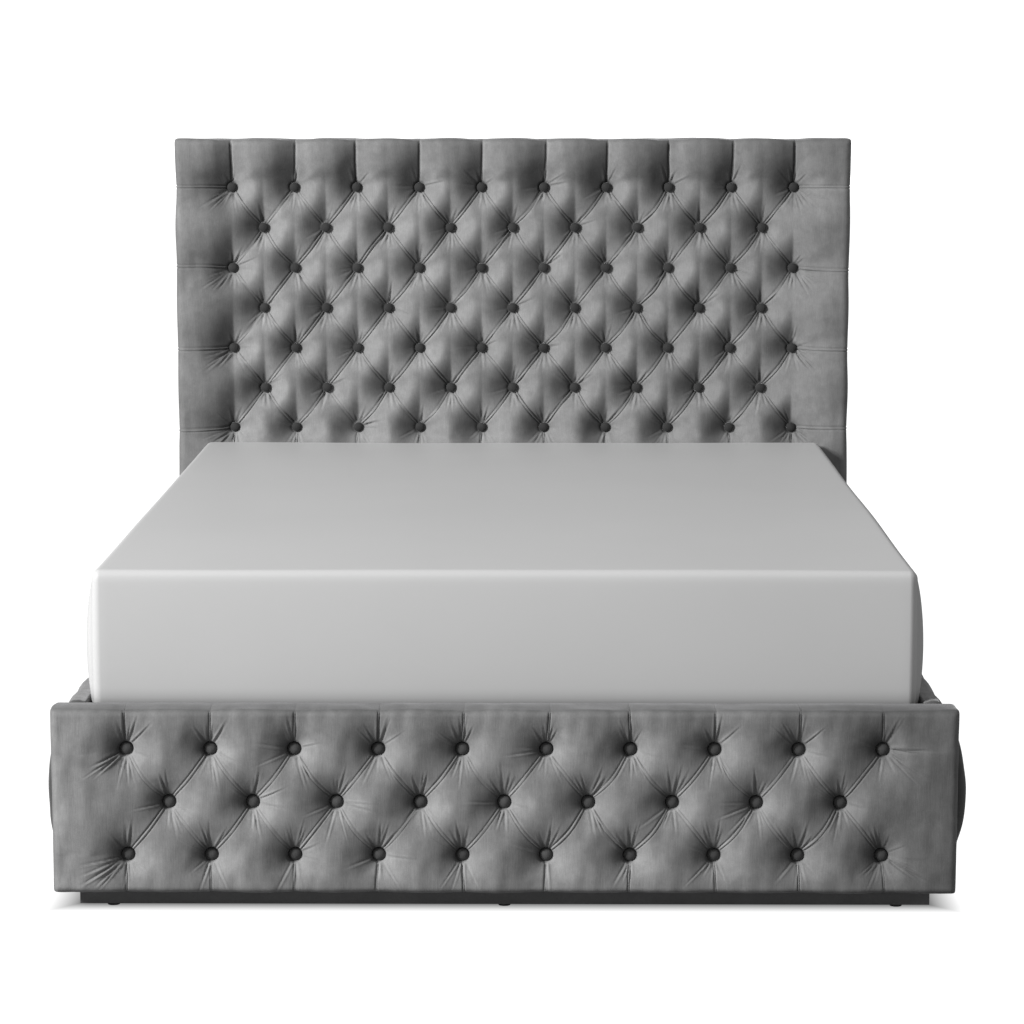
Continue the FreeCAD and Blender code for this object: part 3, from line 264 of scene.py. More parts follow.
lookOf = {
    "foam": ("headboard_foam", "footboard_foam", "side_rail_foam_left", "side_rail_foam_right"),
    "twine": ("headboard_button_ties", "footboard_button_ties", "side_rail_button_ties"),
    "pine_upright": ("headboard_post_left", "headboard_post_right", "footboard_post_left",
                     "footboard_post_right", "footboard_centre_block"),
    "pine": ("headboard_top_rail", "headboard_middle_rail", "headboard_lower_rail", "footboard_top_rail",
             "footboard_bottom_rail"),
    "pine_lengthways": ("slat_ledge_left", "slat_ledge_right", "centre_beam"),
    "plywood": ("headboard_board", "footboard_board", "side_rail_board_left", "side_rail_board_right"),
    "beech": ("slats_left", "slats_right"),
    "black_cloth": ("headboard_back_cloth", "footboard_inner_lining"),
    "black_board": ("plinth_front", "plinth_rear", "plinth_left", "plinth_right"),
    "black_steel": ("corner_brackets", "beam_hangers", "centre_legs"),
    "zinc_steel": ("frame_bolts", "rail_screws", "beam_screws", "threaded_inserts"),
    "black_plastic": ("slat_end_caps", "slat_centre_caps", "levelling_foot_foot", "levelling_foot_middle",
                      "levelling_foot_head", "floor_glides"),
    "velvet": ("headboard_cover", "footboard_cover", "side_rail_cover_left", "side_rail_cover_right",
               "headboard_buttons", "footboard_buttons", "side_rail_buttons_left",
               "side_rail_buttons_right"),
    "ticking": ("mattress_ticking", "mattress_comfort_layers", "mattress_edge_rails"),
    "spring_pockets": ("mattress_spring_unit",),
    "satin_sheet": ("fitted_sheet",),
}
for look, names in lookOf.items():
    for name in names:
        nodes[name].data.materials.clear()
        nodes[name].data.materials.append(looks[look])
print("materials made")


halfPitch = 0.076  # half the distance between the buttons of a row
tiny = 1e-9
onLine = 1e-7  # nearer than this to a row or a column counts as on it
outerFolds = 6  # more small folds at the outer buttons, towards the sides


def smooth(t):
    t = np.clip(t, 0.0, 1.0)
    return t * t * (3.0 - 2.0 * t)


# a soft uneven field between about -1 and 1, with features of about that size
def waves(x, y, z, size, seed, count=9):
    draw = np.random.default_rng(seed)
    field = np.zeros(np.shape(x))
    for _ in range(count):
        way = draw.normal(size=3)
        way *= 2 * math.pi / (size * draw.uniform(0.8, 1.7)) / np.linalg.norm(way)
        field += np.sin(way[0] * x + way[1] * y + way[2] * z + draw.uniform(0, 6.28))
    return field / math.sqrt(count / 2) / 1.6


# height across a pleat: two cracks, a gap apart, and the narrow ridge between them
def pleatFold(d, fold, gap=1.0):
    apart = fold["gap"] * gap / 2
    first = -fold["crack"] * np.exp(-((d + apart) / fold["width"]) ** 2)
    second = -fold["second"] * np.exp(-((d - apart) / fold["width"]) ** 2)
    ridge = fold["lip"] * np.exp(-(d / (fold["gap"] * gap * 0.32)) ** 2)
    return first + second + ridge


# grid positions along one axis: stops is a list of (end, steps), starting from the first one's end
def axisSteps(stops):
    found = [stops[0][0]]
    for (low, _), (high, steps) in zip(stops[:-1], stops[1:]):
        found += list(low + (high - low) * (np.arange(steps) + 1) / steps)
    return np.array(found)


# tufted cloth over a flat region: a is measured across, b up; the button rows are listed downwards
class Quilt:
    def __init__(self, rows, longCount, middle, options):
        self.rows, self.middle, self.o = rows, middle, options
        self.half = (longCount - 1) * halfPitch
        self.row = (rows[0] - rows[-1]) / (len(rows) - 1)
        self.buttons = []
        for k, b in enumerate(rows):
            count = longCount - k % 2
            self.buttons += [
                (middle + (i - (count - 1) / 2) * 2 * halfPitch, b, k) for i in range(count)
            ]
        self.depths = options.get("rowDepths", [options["depth"]] * len(rows))
        self.draw = np.random.default_rng(options["seed"])

    def isOuter(self, x):
        return abs(abs(x - self.middle) - self.half) < 1e-6

    # moves the grid points along the cloth, and returns a, b, the height without folds and the folds
    def shape(self, a, b):
        o = self.o
        column, row = halfPitch, self.row
        top, low = self.rows[0], self.rows[-1]
        ca = (a - (self.middle - self.half)) / column
        cb = (top - b) / row  # rows counted downwards
        columns, rowsDown = int(round(2 * self.half / column)), len(self.rows) - 1
        inA = (ca >= -tiny) & (ca <= columns + tiny)
        inB = (cb >= -tiny) & (cb <= rowsDown + tiny)
        ia = np.clip(np.floor(ca + tiny), 0, columns - 1).astype(int)
        ib = np.clip(np.floor(cb + tiny), 0, rowsDown - 1).astype(int)
        u, v = ca - ia, cb - ib
        falling = ((ia + ib) % 2 == 0)  # pleat from the cell's upper left to its lower right
        inside = inA & inB
        moveA, moveB, height, folds = (np.zeros_like(a) for _ in range(4))
        length = math.hypot(column, row)
        # across the pleat: unit normal, to the upper right of a falling pleat, to the lower right
        # of a rising one
        vv = np.where(falling, v, 1 - v)
        along = (u * column * column + vv * row * row) / (length * length)
        d = (u - vv) * column * row / length
        normA = np.full_like(a, row / length)
        normB = np.where(falling, column / length, -column / length)
        # per pleat bow, strength and side, the same for every point of one cell
        cells = np.random.default_rng(o["seed"] + 5)
        shapeOf = (columns + 1, rowsDown + 1)
        bow = cells.normal(0, 1, shapeOf)[ia, ib] * o["bow"] + np.where(falling, -1, 1) * o["bow"] * 0.8
        strength = np.clip(cells.normal(1.0, 0.22, shapeOf), 0.5, 1.5)[ia, ib]
        strength = strength * np.where(falling, o["falling"], 1.0)
        side = np.where(cells.uniform(size=shapeOf)[ia, ib] < 0.88, 1.0, -1.0)
        calm = np.sqrt(np.clip(np.sin(math.pi * u) * np.sin(math.pi * v), 0, 1))
        near = np.exp(-(d / o["gather"]) ** 2)
        reach = np.sin(math.pi * np.clip(along, 0, 1))
        squeeze = -o["squeeze"] * d * near * calm
        shift = bow * reach * np.exp(-(d / 0.022) ** 2) * calm
        moveA += np.where(inside, (squeeze + shift) * normA, 0)
        moveB += np.where(inside, (squeeze + shift) * normB, 0)
        fromPleat = (d + squeeze) * side
        weak = cells.uniform(0.0, 0.65, shapeOf)[ia, ib]
        fade = (1 - weak * reach ** 2) * (0.4 + 0.6 * smooth(np.minimum(along, 1 - along) * 7))
        folds += np.where(inside, pleatFold(fromPleat, o, 0.65 + 0.6 * reach) * strength * fade, 0)
        puffed = np.abs(np.sin(math.pi * (ca + cb) / 2) * np.sin(math.pi * (ca - cb) / 2))
        height += np.where(inside, puffed ** o["roundness"] * o["puff"], 0)
        # upright pleats above the top row and below the bottom row
        for row0, way, on in ((top, 1, o["pleatsUp"]), (low, -1, o["pleatsDown"])):
            beyond = (b - row0) * way
            across = [x for x, y, _ in self.buttons if y == row0]
            rise = smooth(beyond / 0.02)
            for x in across:
                lean = self.draw.normal(0, o["lean"])
                force = np.clip(self.draw.normal(1.0, 0.2), 0.6, 1.4) * on
                off = a - x
                close = np.exp(-(off / o["gather"]) ** 2)
                pull = -o["squeeze"] * off * close * rise
                curve = np.sin(np.clip(beyond / 0.1, 0, 1) * math.pi / 2)
                bend = lean * curve * np.exp(-(off / 0.03) ** 2) * rise
                here = (beyond > onLine) & (np.abs(off) < column)
                moveA += np.where(here, pull + bend, 0)
                fold = pleatFold(off + pull, o, 0.5) * force * (0.4 + 0.6 * smooth(beyond / 0.03))
                folds += np.where(here, fold, 0)
            wave = np.cos if len(across) % 2 == 0 else np.sin
            swell = np.abs(wave(math.pi * (a - self.middle) / (2 * column)))
            between = (beyond > onLine) & (np.abs(a - self.middle) <= (len(across) - 1) * column)
            held = np.clip(1 - beyond / o["swellReach"], 0, 1)
            turnOver = smooth(beyond / 0.08)
            rising = swell ** (2 * o["roundness"]) * o["puff"] * (1 - turnOver)
            rising = rising + swell ** 0.7 * o["swell"] * turnOver
            height += np.where(between, rising * (0.45 + 0.55 * held), 0)
        # the side margins and their corners
        past = np.abs(a - self.middle) - self.half
        ends = np.maximum(b - top, low - b)
        waved = np.abs(np.sin(math.pi * cb / 2)) ** (2 * o["roundness"])
        flatter = 1 - np.exp(-np.maximum(past, 0) / o["sideFade"])
        margin = 1 - (1 - waved) * (1 - flatter)
        corner = flatter + (1 - flatter) * smooth(np.minimum(past, ends) / 0.045) * 0.7
        height += np.where(past > onLine, np.where(ends <= onLine, margin, corner) * o["puff"], 0)
        # level pleats from the outer buttons of the long rows to the sides
        for x, row0, _ in self.buttons:
            if not self.isOuter(x):
                continue
            way = 1 if x > self.middle else -1
            beyond = (a - x) * way
            lean = self.draw.normal(0, o["lean"])
            off = b - row0
            close = np.exp(-(off / o["gather"]) ** 2)
            rise = smooth(beyond / 0.02)
            pull = -o["squeeze"] * off * close * rise
            curve = np.sin(np.clip(beyond / 0.1, 0, 1) * math.pi / 2)
            bend = lean * curve * np.exp(-(off / 0.03) ** 2) * rise
            here = (beyond > onLine) & (np.abs(off) < row)
            moveB += np.where(here, pull + bend, 0)
            fading = o["pleatsOut"] * (0.4 + 0.6 * smooth(beyond / 0.03))
            fading = fading * np.exp(-np.maximum(beyond - 0.03, 0) / 0.05)
            folds += np.where(here, pleatFold(-(off + pull), o) * (fading + o["pleatsOut"] * 0.25), 0)
        # a deep smooth funnel at each button, and small folds running into it
        for x, y, k in self.buttons:
            reachAround = max(o["funnel"] * 4.5, o["fanReach"] * 1.8)
            pick = (np.abs(a - x) < reachAround) & (np.abs(b - y) < reachAround)
            pa, pb = a[pick] + moveA[pick] - x, b[pick] + moveB[pick] - y
            r = np.hypot(pa, pb) + 1e-9
            angle = np.arctan2(pb, pa)
            width = o["funnel"] * (1 + 0.07 * self.draw.normal())
            above = smooth(pb / r * 1.6)
            power = 2 - o["flame"] * 0.7 * above  # the funnel draws out to a point above the button
            tall = 1 + (o["tip"] - 1) * above
            scaled = (np.abs(pa / width) ** power + np.abs(pb / (width * tall)) ** power) ** (1 / power)
            window = smooth((reachAround - np.maximum(np.abs(pa), np.abs(pb))) / (reachAround * 0.45))
            depth = -self.depths[k] * np.exp(-np.power(scaled, o["steep"])) * window
            fans = np.zeros_like(r)
            outer = self.isOuter(x)
            ways = list(self.draw.normal(math.pi / 2, 0.30, o["fansUp"]))
            ways += list(self.draw.normal(-math.pi / 2, 0.36, o["fansDown"]))
            ways += list(self.draw.uniform(-math.pi, math.pi, o["fans"]))
            if outer:  # the outer buttons also pull at the cloth of the side margin
                sideways = -2.45 if x < self.middle else -0.69
                ways += list(sideways + self.draw.normal(0, 0.30, outerFolds))
            for number, way in enumerate(ways):
                spread = self.draw.uniform(0.8, 1.3) * o["fanWidth"]
                long = outer and number >= len(ways) - outerFolds
                rise = self.draw.uniform(0.45, 1.0) * o["fan"] * (1.5 if long else 1.0)
                end = self.draw.uniform(0.7, 1.3) * o["fanReach"] * (1.35 if long else 1.0)
                turn = (angle - way + math.pi) % (2 * math.pi) - math.pi
                turn = turn * np.maximum(r, 0.016)  # across the fold, in metres
                lasting = smooth((r - 0.012) / 0.008) * smooth((end - r) / (end * 0.6))
                turn = np.where(np.abs(turn) < 0.03, turn, 1.0)
                fans -= rise * np.exp(-(turn / spread) ** 2) * lasting
                fans += 0.8 * rise * np.exp(-((turn - spread * 1.9) / spread) ** 2) * lasting
            seat = smooth((0.0155 - r) / 0.004)  # flat under the button
            height[pick] = (height[pick] + depth) * (1 - seat) - self.depths[k] * seat
            folds[pick] = (folds[pick] + fans) * (1 - seat)
        height += waves(a, b * 0.7, 0 * a, 0.11, o["seed"] + 9) * o["uneven"]
        height += waves(a * 1.6, b * 0.5, 0 * a, 0.035, o["seed"] + 10) * o["rumple"]
        return a + moveA, b + moveB, height, folds

    # how firmly each point of the cloth is held: fully at the buttons and the border
    def pinned(self, a, b):
        held = np.full(a.shape, self.o["hold"])
        for x, y, _ in self.buttons:
            held = np.maximum(held, smooth((0.024 - np.hypot(a - x, b - y)) / 0.008))
        held[:2], held[-2:], held[:, :2], held[:, -2:] = 1, 1, 1, 1
        return held


weave = {"quality": 5, "mass": 0.3, "tension": 20, "shear": 6}


# lets loose cloth settle between its buttons, on a coarser grid, and returns how far each point moves
def settled(quilt, a, b, height):
    o = quilt.o
    na, nb = a.shape
    pickA, pickB = (np.unique(np.append(np.arange(0, m, o["every"]), m - 1)) for m in (na, nb))
    grid = np.ix_(pickA, pickB)
    start = np.stack([a[grid], b[grid], height[grid]], -1)
    held = quilt.pinned(a[grid], b[grid])
    cloth = meshObject("settling", start.reshape(-1, 3), gridFaces(len(pickA), len(pickB)), "velvet")
    group = cloth.vertex_groups.new(name="held")
    for i, weight in enumerate(held.ravel().tolist()):
        group.add([i], weight, "REPLACE")
    modifier = cloth.modifiers.new("cloth", "CLOTH")
    settings = modifier.settings
    settings.vertex_group_mass = "held"
    settings.quality = weave["quality"]
    settings.mass = weave["mass"]
    settings.pin_stiffness = 1.0
    settings.tension_stiffness = settings.compression_stiffness = weave["tension"]
    settings.shear_stiffness = weave["shear"]
    settings.bending_stiffness = o["stiffness"]
    settings.shrink_min = -o["slack"]
    settings.use_pressure = True
    settings.uniform_pressure_force = o["pressure"]
    settings.effector_weights.gravity = 0
    modifier.collision_settings.use_collision = False
    modifier.point_cache.frame_start, modifier.point_cache.frame_end = 1, o["frames"]
    scene = bpy.context.scene
    for step in range(1, o["frames"] + 1):
        scene.frame_set(step)
    shaped = cloth.evaluated_get(bpy.context.evaluated_depsgraph_get()).to_mesh()
    end = np.zeros(len(shaped.vertices) * 3)
    shaped.vertices.foreach_get("co", end)
    moved = end.reshape(start.shape) - start
    bpy.data.objects.remove(cloth)
    scene.frame_set(1)
    moved = o["cap"] * np.tanh(moved / o["cap"])
    for _ in range(2):  # takes out ripples as fine as the grid
        around = moved[1:-1, 1:-1] * 2 + moved[:-2, 1:-1] + moved[2:, 1:-1]
        moved[1:-1, 1:-1] = (around + moved[1:-1, :-2] + moved[1:-1, 2:]) / 6
    print("settled", o["seed"], "by", round(float(np.abs(moved[..., 2]).mean()), 5))
    found = []
    for k in range(3):
        across = np.stack([np.interp(np.arange(nb), pickB, line) for line in moved[..., k]])
        found.append(np.stack([np.interp(np.arange(na), pickA, line) for line in across.T], 1))
    return found


# painted light and shade from the slope, as if lit from the upper left: darker where the cloth falls away
# to the right or downwards, lighter where it rises
def paintedShade(a, b, height, quilt):
    o = quilt.o
    fallA = -np.gradient(height, axis=0) / (np.gradient(a, axis=0) + 1e-9)
    riseB = np.gradient(height, axis=1) / (np.gradient(b, axis=1) + 1e-9)
    steepest, darkest, lightest = 0.9, 0.34, 1.4
    slope = np.clip(fallA, -steepest, steepest) * 0.85 + np.clip(riseB, -steepest, steepest) * 0.4
    tone = np.clip(np.exp(-o["napAndSlopeShade"] * slope), darkest, lightest)
    # painted shade in the hollow round each button, darkest on its upper left side
    for x, y, _ in quilt.buttons:  # the dark hollow around each button
        pick = (np.abs(a - x) < 0.05) & (np.abs(b - y) < 0.05)
        r = np.hypot(a[pick] - x, b[pick] - y) + 1e-9
        toward = 0.72 + 0.28 * (b[pick] - y - a[pick] + x) / r / 1.414
        hollowShade = np.exp(-(np.maximum(r - 0.010, 0) / o["ringReach"]) ** 1.3)
        tone[pick] *= 1 - o["ring"] * toward * hollowShade
    # painted shade towards the right end of the pad, and painted light at its left edge
    tone *= 1 - o["shadeRight"] * smooth((a - o["shadeFrom"]) / (0.82 - o["shadeFrom"]))
    return tone * (1 + o["lightLeft"] * smooth((-a - 0.70) / 0.11))


# keeps the painted shade and light as an attribute that the velvet reads
def setPaintedShade(obj, tone):
    attribute = obj.data.attributes.new("paintedShade", "FLOAT", "POINT")
    values = np.ones(len(obj.data.vertices), np.float32)
    values[:tone.size] = tone.ravel()
    attribute.data.foreach_set("value", values)


# quads of an na by nb grid, split along the pleat in each cell
def gridFaces(na, nb, falling=None):
    i, j = np.meshgrid(np.arange(na - 1), np.arange(nb - 1), indexing="ij")
    p = (i * nb + j).ravel()
    q, r, s = p + nb, p + nb + 1, p + 1
    if falling is None:
        return np.stack([p, q, r, s], 1).tolist()
    f = falling.ravel()
    first = np.where(f[:, None], np.stack([p, q, s], 1), np.stack([p, q, r], 1))
    second = np.where(f[:, None], np.stack([q, r, s], 1), np.stack([p, r, s], 1))
    return np.concatenate([first, second]).tolist()


def meshObject(name, points, faces, look):
    mesh = bpy.data.meshes.new(name)
    mesh.from_pydata(points.tolist() if hasattr(points, "tolist") else points, [], faces)
    mesh.validate()
    mesh.update()
    obj = bpy.data.objects.new(name, mesh)
    bpy.context.scene.collection.objects.link(obj)
    mesh.materials.append(looks[look])
    mesh.polygons.foreach_set("use_smooth", [True] * len(mesh.polygons))
    return obj


# the border of an na by nb grid, in order
def edgeLoop(na, nb):
    i, j = np.arange(na), np.arange(nb)
    return np.concatenate([i * nb, (na - 1) * nb + j[1:], i[::-1][1:] * nb + nb - 1, j[::-1][1:-1]])


# for each grid cell, whether its pleat falls to the right
def cellParity(quilt, a, b):
    ca = (a[:-1] + a[1:]) / 2 - (quilt.middle - quilt.half)
    cb = quilt.rows[0] - (b[:-1] + b[1:]) / 2
    ia, ib = np.floor(ca / halfPitch), np.floor(cb / quilt.row)
    return (ia[:, None] + ib[None, :]) % 2 == 0


# a tufted pad that faces the foot end: a front with rounded edges, its four sides, and a hem on the back
def facePad(name, quilt, stopsA, stopsB, p):
    a1, b1 = axisSteps(stopsA), axisSteps(stopsB)
    na, nb = len(a1), len(b1)
    a, b = np.meshgrid(a1, b1, indexing="ij")
    a, b, plain, folds = quilt.shape(a, b)
    movedA, movedB, movedH = settled(quilt, a, b, plain)
    a, b, h = a + movedA, b + movedB, plain + folds + movedH
    tone = paintedShade(a, b, plain, quilt)
    radius = p["radius"]
    arc = radius * math.pi / 2
    sideA = np.abs(a) - (p["halfWidth"] - radius)
    sideB = np.where(b > p["middle"], b - (p["top"] - radius), (p["bottom"] + radius) - b)
    ua, ub = np.clip(sideA / arc, 0, 1), np.clip(sideB / arc, 0, 1)
    # square corner to round corner
    ra, rb = ua * np.sqrt(1 - ub * ub / 2), ub * np.sqrt(1 - ua * ua / 2)
    r = np.hypot(ra, rb)
    angle = r * math.pi / 2
    # painted shade over the rounded edges, growing as they turn away from the front
    tone *= 1 - p["edgeShade"] * smooth(angle / 1.5)
    upward = np.where(b > p["middle"], 1, -1)
    wayA, wayB = ra / (r + 1e-12) * np.sign(a), rb / (r + 1e-12) * upward
    square = (ra ** p["corner"] + rb ** p["corner"]) ** (1 / p["corner"]) + 1e-12
    outA, outB = ra / square * np.sign(a), rb / square * upward
    h = h + (np.maximum(h, p["least"]) - h) * smooth((angle - 0.5) / 0.6)
    flatA = np.where(sideA > 0, (p["halfWidth"] - radius) * np.sign(a), a)
    flatB = np.where(sideB > 0, np.where(b > p["middle"], p["top"] - radius, p["bottom"] + radius), b)
    x = flatA + (outA * radius + wayA * h) * np.sin(angle)
    z = flatB + (outB * radius + wayB * h) * np.sin(angle)
    step = p["step"] * smooth((p["stepAt"] - b) / p["stepOver"])
    calm = 1 - step / (p["step"] + 1e-9) * 0.9  # hardly any height below the step
    y = p["front"] + step + radius * (1 - np.cos(angle)) - h * np.cos(angle) * calm
    points = [np.stack([x, y, z], -1).reshape(-1, 3)]
    loop = edgeLoop(na, nb)
    edge = points[0][loop]
    out = np.stack([wayA.ravel()[loop], 0 * loop, wayB.ravel()[loop]], 1)
    edgeH = h.ravel()[loop]
    faces = gridFaces(na, nb, cellParity(quilt, a1, b1))
    previous, count = loop, na * nb
    m = len(loop)
    rings = [(f, 0.0) for f in (np.arange(p["rings"]) + 1) / (p["rings"] + 0.4)]
    rings += [(0.975, 0.0004), (0.99, 0.0012), (1.0, 0.0032)] + [(1.0, inset) for inset in p["hem"]]
    for f, inset in rings:
        ring = edge.copy()
        ring[:, 1] += (p["back"] - edge[:, 1]) * f
        arch = math.sin(math.pi * f)
        swell = p["sidePuff"] * arch - edgeH * (1 - (1 - f) ** 1.5)
        rumple = waves(edge[:, 0], ring[:, 1] * 0.6, edge[:, 2], 0.06, p["seed"]) * 0.0012 * arch
        ring += out * (swell + rumple)[:, None]
        if inset:
            ring -= out * inset
            ring[:, 1] += p["hemOut"] if inset > 0.005 else 0
        points.append(ring)
        new = count + np.arange(m)
        after = np.roll(np.arange(m), -1)
        faces += np.stack([previous, new, new[after], previous[after]], 1).tolist()
        previous, count = new, count + m
    pad = meshObject(name, np.concatenate(points), faces, "velvet")
    # the sides carry the front's painted shade on, with more painted shade towards the back edge
    edgeTone = tone.ravel()[loop]  # darker towards the back edge
    ringTones = [edgeTone * (1 - 0.55 * float(smooth((f - 0.86) / 0.12))) for f, _ in rings]
    setPaintedShade(pad, np.concatenate([tone.ravel()] + ringTones))
    return pad


# does that work in edit mode on everything in a piece
def inEditMode(obj, work):
    bpy.ops.object.select_all(action="DESELECT")
    obj.select_set(True)
    bpy.context.view_layer.objects.active = obj
    bpy.ops.object.mode_set(mode="EDIT")
    bpy.ops.mesh.select_all(action="SELECT")
    work()
    bpy.ops.object.mode_set(mode="OBJECT")


def outward(obj):
    inEditMode(obj, lambda: bpy.ops.mesh.normals_make_consistent(inside=False))


head = {
    "seed": 11, "depth": 0.036, "funnel": 0.053, "flame": 1.0, "tip": 1.35, "steep": 1.4,
    "puff": 0.004, "roundness": 1.2, "swell": 0.008,
    "crack": 0.0040, "lip": 0.0024, "second": 0.0030, "width": 0.0014, "gap": 0.0056,
    "gather": 0.012, "squeeze": 0.65, "bow": 0.0022, "falling": 0.9, "lean": 0.004,
    "pleatsUp": 1.2, "pleatsDown": 1.2, "pleatsOut": 1.1, "swellReach": 0.16, "sideFade": 0.16,
    "fans": 4, "fansUp": 2, "fansDown": 5, "fan": 0.0026, "fanReach": 0.058, "fanWidth": 0.0021,
    "uneven": 0.0008, "rumple": 0.0002,
    "hold": 0.08, "stiffness": 0.4, "slack": 0.012, "pressure": 0.1, "frames": 20, "cap": 0.0014,
    # besides the settling grid, these two lines set the painted shade and light: its strength from the
    # slope, the ring of it round each button, and its fall across the pad
    "every": 3, "napAndSlopeShade": 2.5, "ring": 0.62, "ringReach": 0.0075,
    "shadeRight": 0.16, "shadeFrom": -0.4, "lightLeft": 0.12,
}
headRows = [1.235 - 0.098 * k for k in range(7)]
headQuilt = Quilt(headRows, 10, 0.0, head)
headPad = {
    "radius": 0.014, "halfWidth": 0.8175, "top": 1.3502, "bottom": 0.035, "middle": 0.9,
    "front": 0.988, "back": 1.0968, "least": -0.0012, "step": 0.041, "stepAt": 0.402, "stepOver": 0.022,
    "rings": 8, "hem": [0.008, 0.022], "hemOut": 0.0006, "sidePuff": 0.002,
    "seed": 21, "corner": 6, "edgeShade": 0.15,
}
n = 32
arcExtra = headPad["radius"] * (math.pi / 2 - 1)
w, f = headPad["halfWidth"] + arcExtra, headPad["halfWidth"] - headPad["radius"]
half = headQuilt.half
stopsA = [(-w, 0), (-f, 6), (-half, 48), (half, 18 * n), (f, 48), (w, 6)]
stopsB = [
    (headPad["bottom"] - arcExtra, 0), (headPad["bottom"] + headPad["radius"], 4),
    (0.376, 12), (0.404, 8), (0.600, 12), (headRows[-1], 16), (headRows[0], 6 * n),
    (headPad["top"] - headPad["radius"], 36), (headPad["top"] + arcExtra, 6),
]
headCloth = facePad("headboard_tufted_pad", headQuilt, stopsA, stopsB, headPad)
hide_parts("headboard_cover", "headboard_foam")
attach(headCloth, "bed_frame")
print("headboard pad made", len(headCloth.data.polygons))


foot = dict(
    head, seed=31, depth=0.028, funnel=0.025, flame=0.25, tip=1.2, steep=1.12, puff=0.0016,
    swell=0.0022, falling=0.75, crack=0.0024, lip=0.0012, second=0.0013, width=0.0010, gap=0.0052,
    bow=0.003, fans=3, fansUp=4, fansDown=4, fan=0.0018, fanReach=0.068, fanWidth=0.0016,
    # the end of this line and the next set the footboard's painted shade and light
    pleatsOut=0.0, sideFade=0.03, uneven=0.0005, slack=0.006, cap=0.0012, napAndSlopeShade=1.7, ring=0.42,
    shadeRight=0.38, shadeFrom=0.42, lightLeft=0.30,
)
footRows = [0.298, 0.200, 0.102]
footQuilt = Quilt(footRows, 10, 0.0, foot)
footPad = {
    "radius": 0.011, "halfWidth": 0.8175, "top": 0.3722, "bottom": 0.035, "middle": 0.2,
    "front": -1.098, "back": -1.0242, "least": -0.0012, "step": 0.0, "stepAt": 0.0, "stepOver": 1.0,
    "rings": 7, "hem": [0.008, 0.020], "hemOut": 0.0004, "sidePuff": 0.002,
    "seed": 22, "corner": 6, "edgeShade": 0.42,
}
n = 44
arcExtra = footPad["radius"] * (math.pi / 2 - 1)
w, f = footPad["halfWidth"] + arcExtra, footPad["halfWidth"] - footPad["radius"]
stopsA = [(-w, 0), (-f, 6), (-half, 50), (half, 18 * n), (f, 50), (w, 6)]
stopsB = [
    (footPad["bottom"] - arcExtra, 0), (footPad["bottom"] + footPad["radius"], 6),
    (footRows[-1], 24), (footRows[0], 2 * n),
    (footPad["top"] - footPad["radius"], 28), (footPad["top"] + arcExtra, 6),
]
footCloth = facePad("footboard_tufted_pad", footQuilt, stopsA, stopsB, footPad)
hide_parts("footboard_cover", "footboard_foam")
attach(footCloth, "bed_frame")
print("footboard pad made", len(footCloth.data.polygons))


rail = dict(
    foot, seed=41, depth=0.036, funnel=0.030, puff=0.002, swellReach=0.1, fan=0.0014, every=2,
    width=0.0014, shadeRight=0.0, lightLeft=0.0,
)
section = {
    "bow": 0.3215, "shoulder": 0.016, "top": 0.1700, "inner": 0.768, "lip": 0.004, "tuck": 0.026,
    "crest": 0.842, "middle": 0.203,
}
turn = math.asin((section["top"] - section["shoulder"]) / (section["bow"] - section["shoulder"]))
shoulderX = section["crest"] - section["bow"] * (1 - math.cos(turn))
shoulderX -= section["shoulder"] * math.cos(turn)
# each stretch of the section from its middle upwards: length, and how far it bends
parts = [
    (section["bow"] * turn, turn),
    (section["shoulder"] * (math.pi / 2 - turn), math.pi / 2 - turn),
    (shoulderX - section["inner"], 0.0),
    (section["lip"] * math.pi / 2, math.pi / 2),
    (section["tuck"], 0.0),
]
along = [0.0]
for length, _ in parts:
    along.append(along[-1] + length)
fine = np.linspace(0, along[-1], 1600)
angles = np.zeros_like(fine)
for (length, bend), start in zip(parts, along[:-1]):
    angles += bend * np.clip((fine - start) / length, 0, 1)
stepLength = fine[1] - fine[0]
middleAngles = (angles[1:] + angles[:-1]) / 2
fineX = section["crest"] - np.concatenate([[0], np.cumsum(np.sin(middleAngles))]) * stepLength
fineZ = np.concatenate([[0], np.cumsum(np.cos(middleAngles))]) * stepLength


# the point over the rail's rounded section at arc length b, raised by h and sunk by inset
def railPoint(b, h, inset, slim=0.0):
    s = np.abs(b - section["middle"])
    up = np.where(b >= section["middle"], 1.0, -1.0)
    angle = np.interp(s, fine, angles)
    fade = smooth((along[3] - s) / 0.010)
    h = h + (np.maximum(h, -0.0008) - h) * smooth((angle - 0.55) / 0.4)
    lift = h * fade - inset * np.clip(np.cos(angle), 0.25, 1)
    slimmer = slim * np.cos(angle) ** 2 * np.clip(np.cos(s / along[1] * math.pi / 2), 0, 1)
    x = np.interp(s, fine, fineX) - slimmer + np.cos(angle) * lift
    z = section["middle"] + up * (np.interp(s, fine, fineZ) + np.sin(angle) * lift)
    return x, z, np.cos(angle), up * np.sin(angle)


rowRise = section["bow"] * math.asin(0.1014 / section["bow"])  # between two rows, along the cloth
railRows = [section["middle"] + rowRise, section["middle"], section["middle"] - rowRise]
ends = {"foot": -1.0238, "head": 1.0408, "radius": 0.012, "sunk": 0.036}
railSlim = {-1: 0.008, 1: 0.0}  # the left rail is a little flatter
# depth of each row, so that every button sits on its tie
railDepths = {-1: (0.0175, 0.0260, 0.0175), 1: (0.0225, 0.0340, 0.0225)}


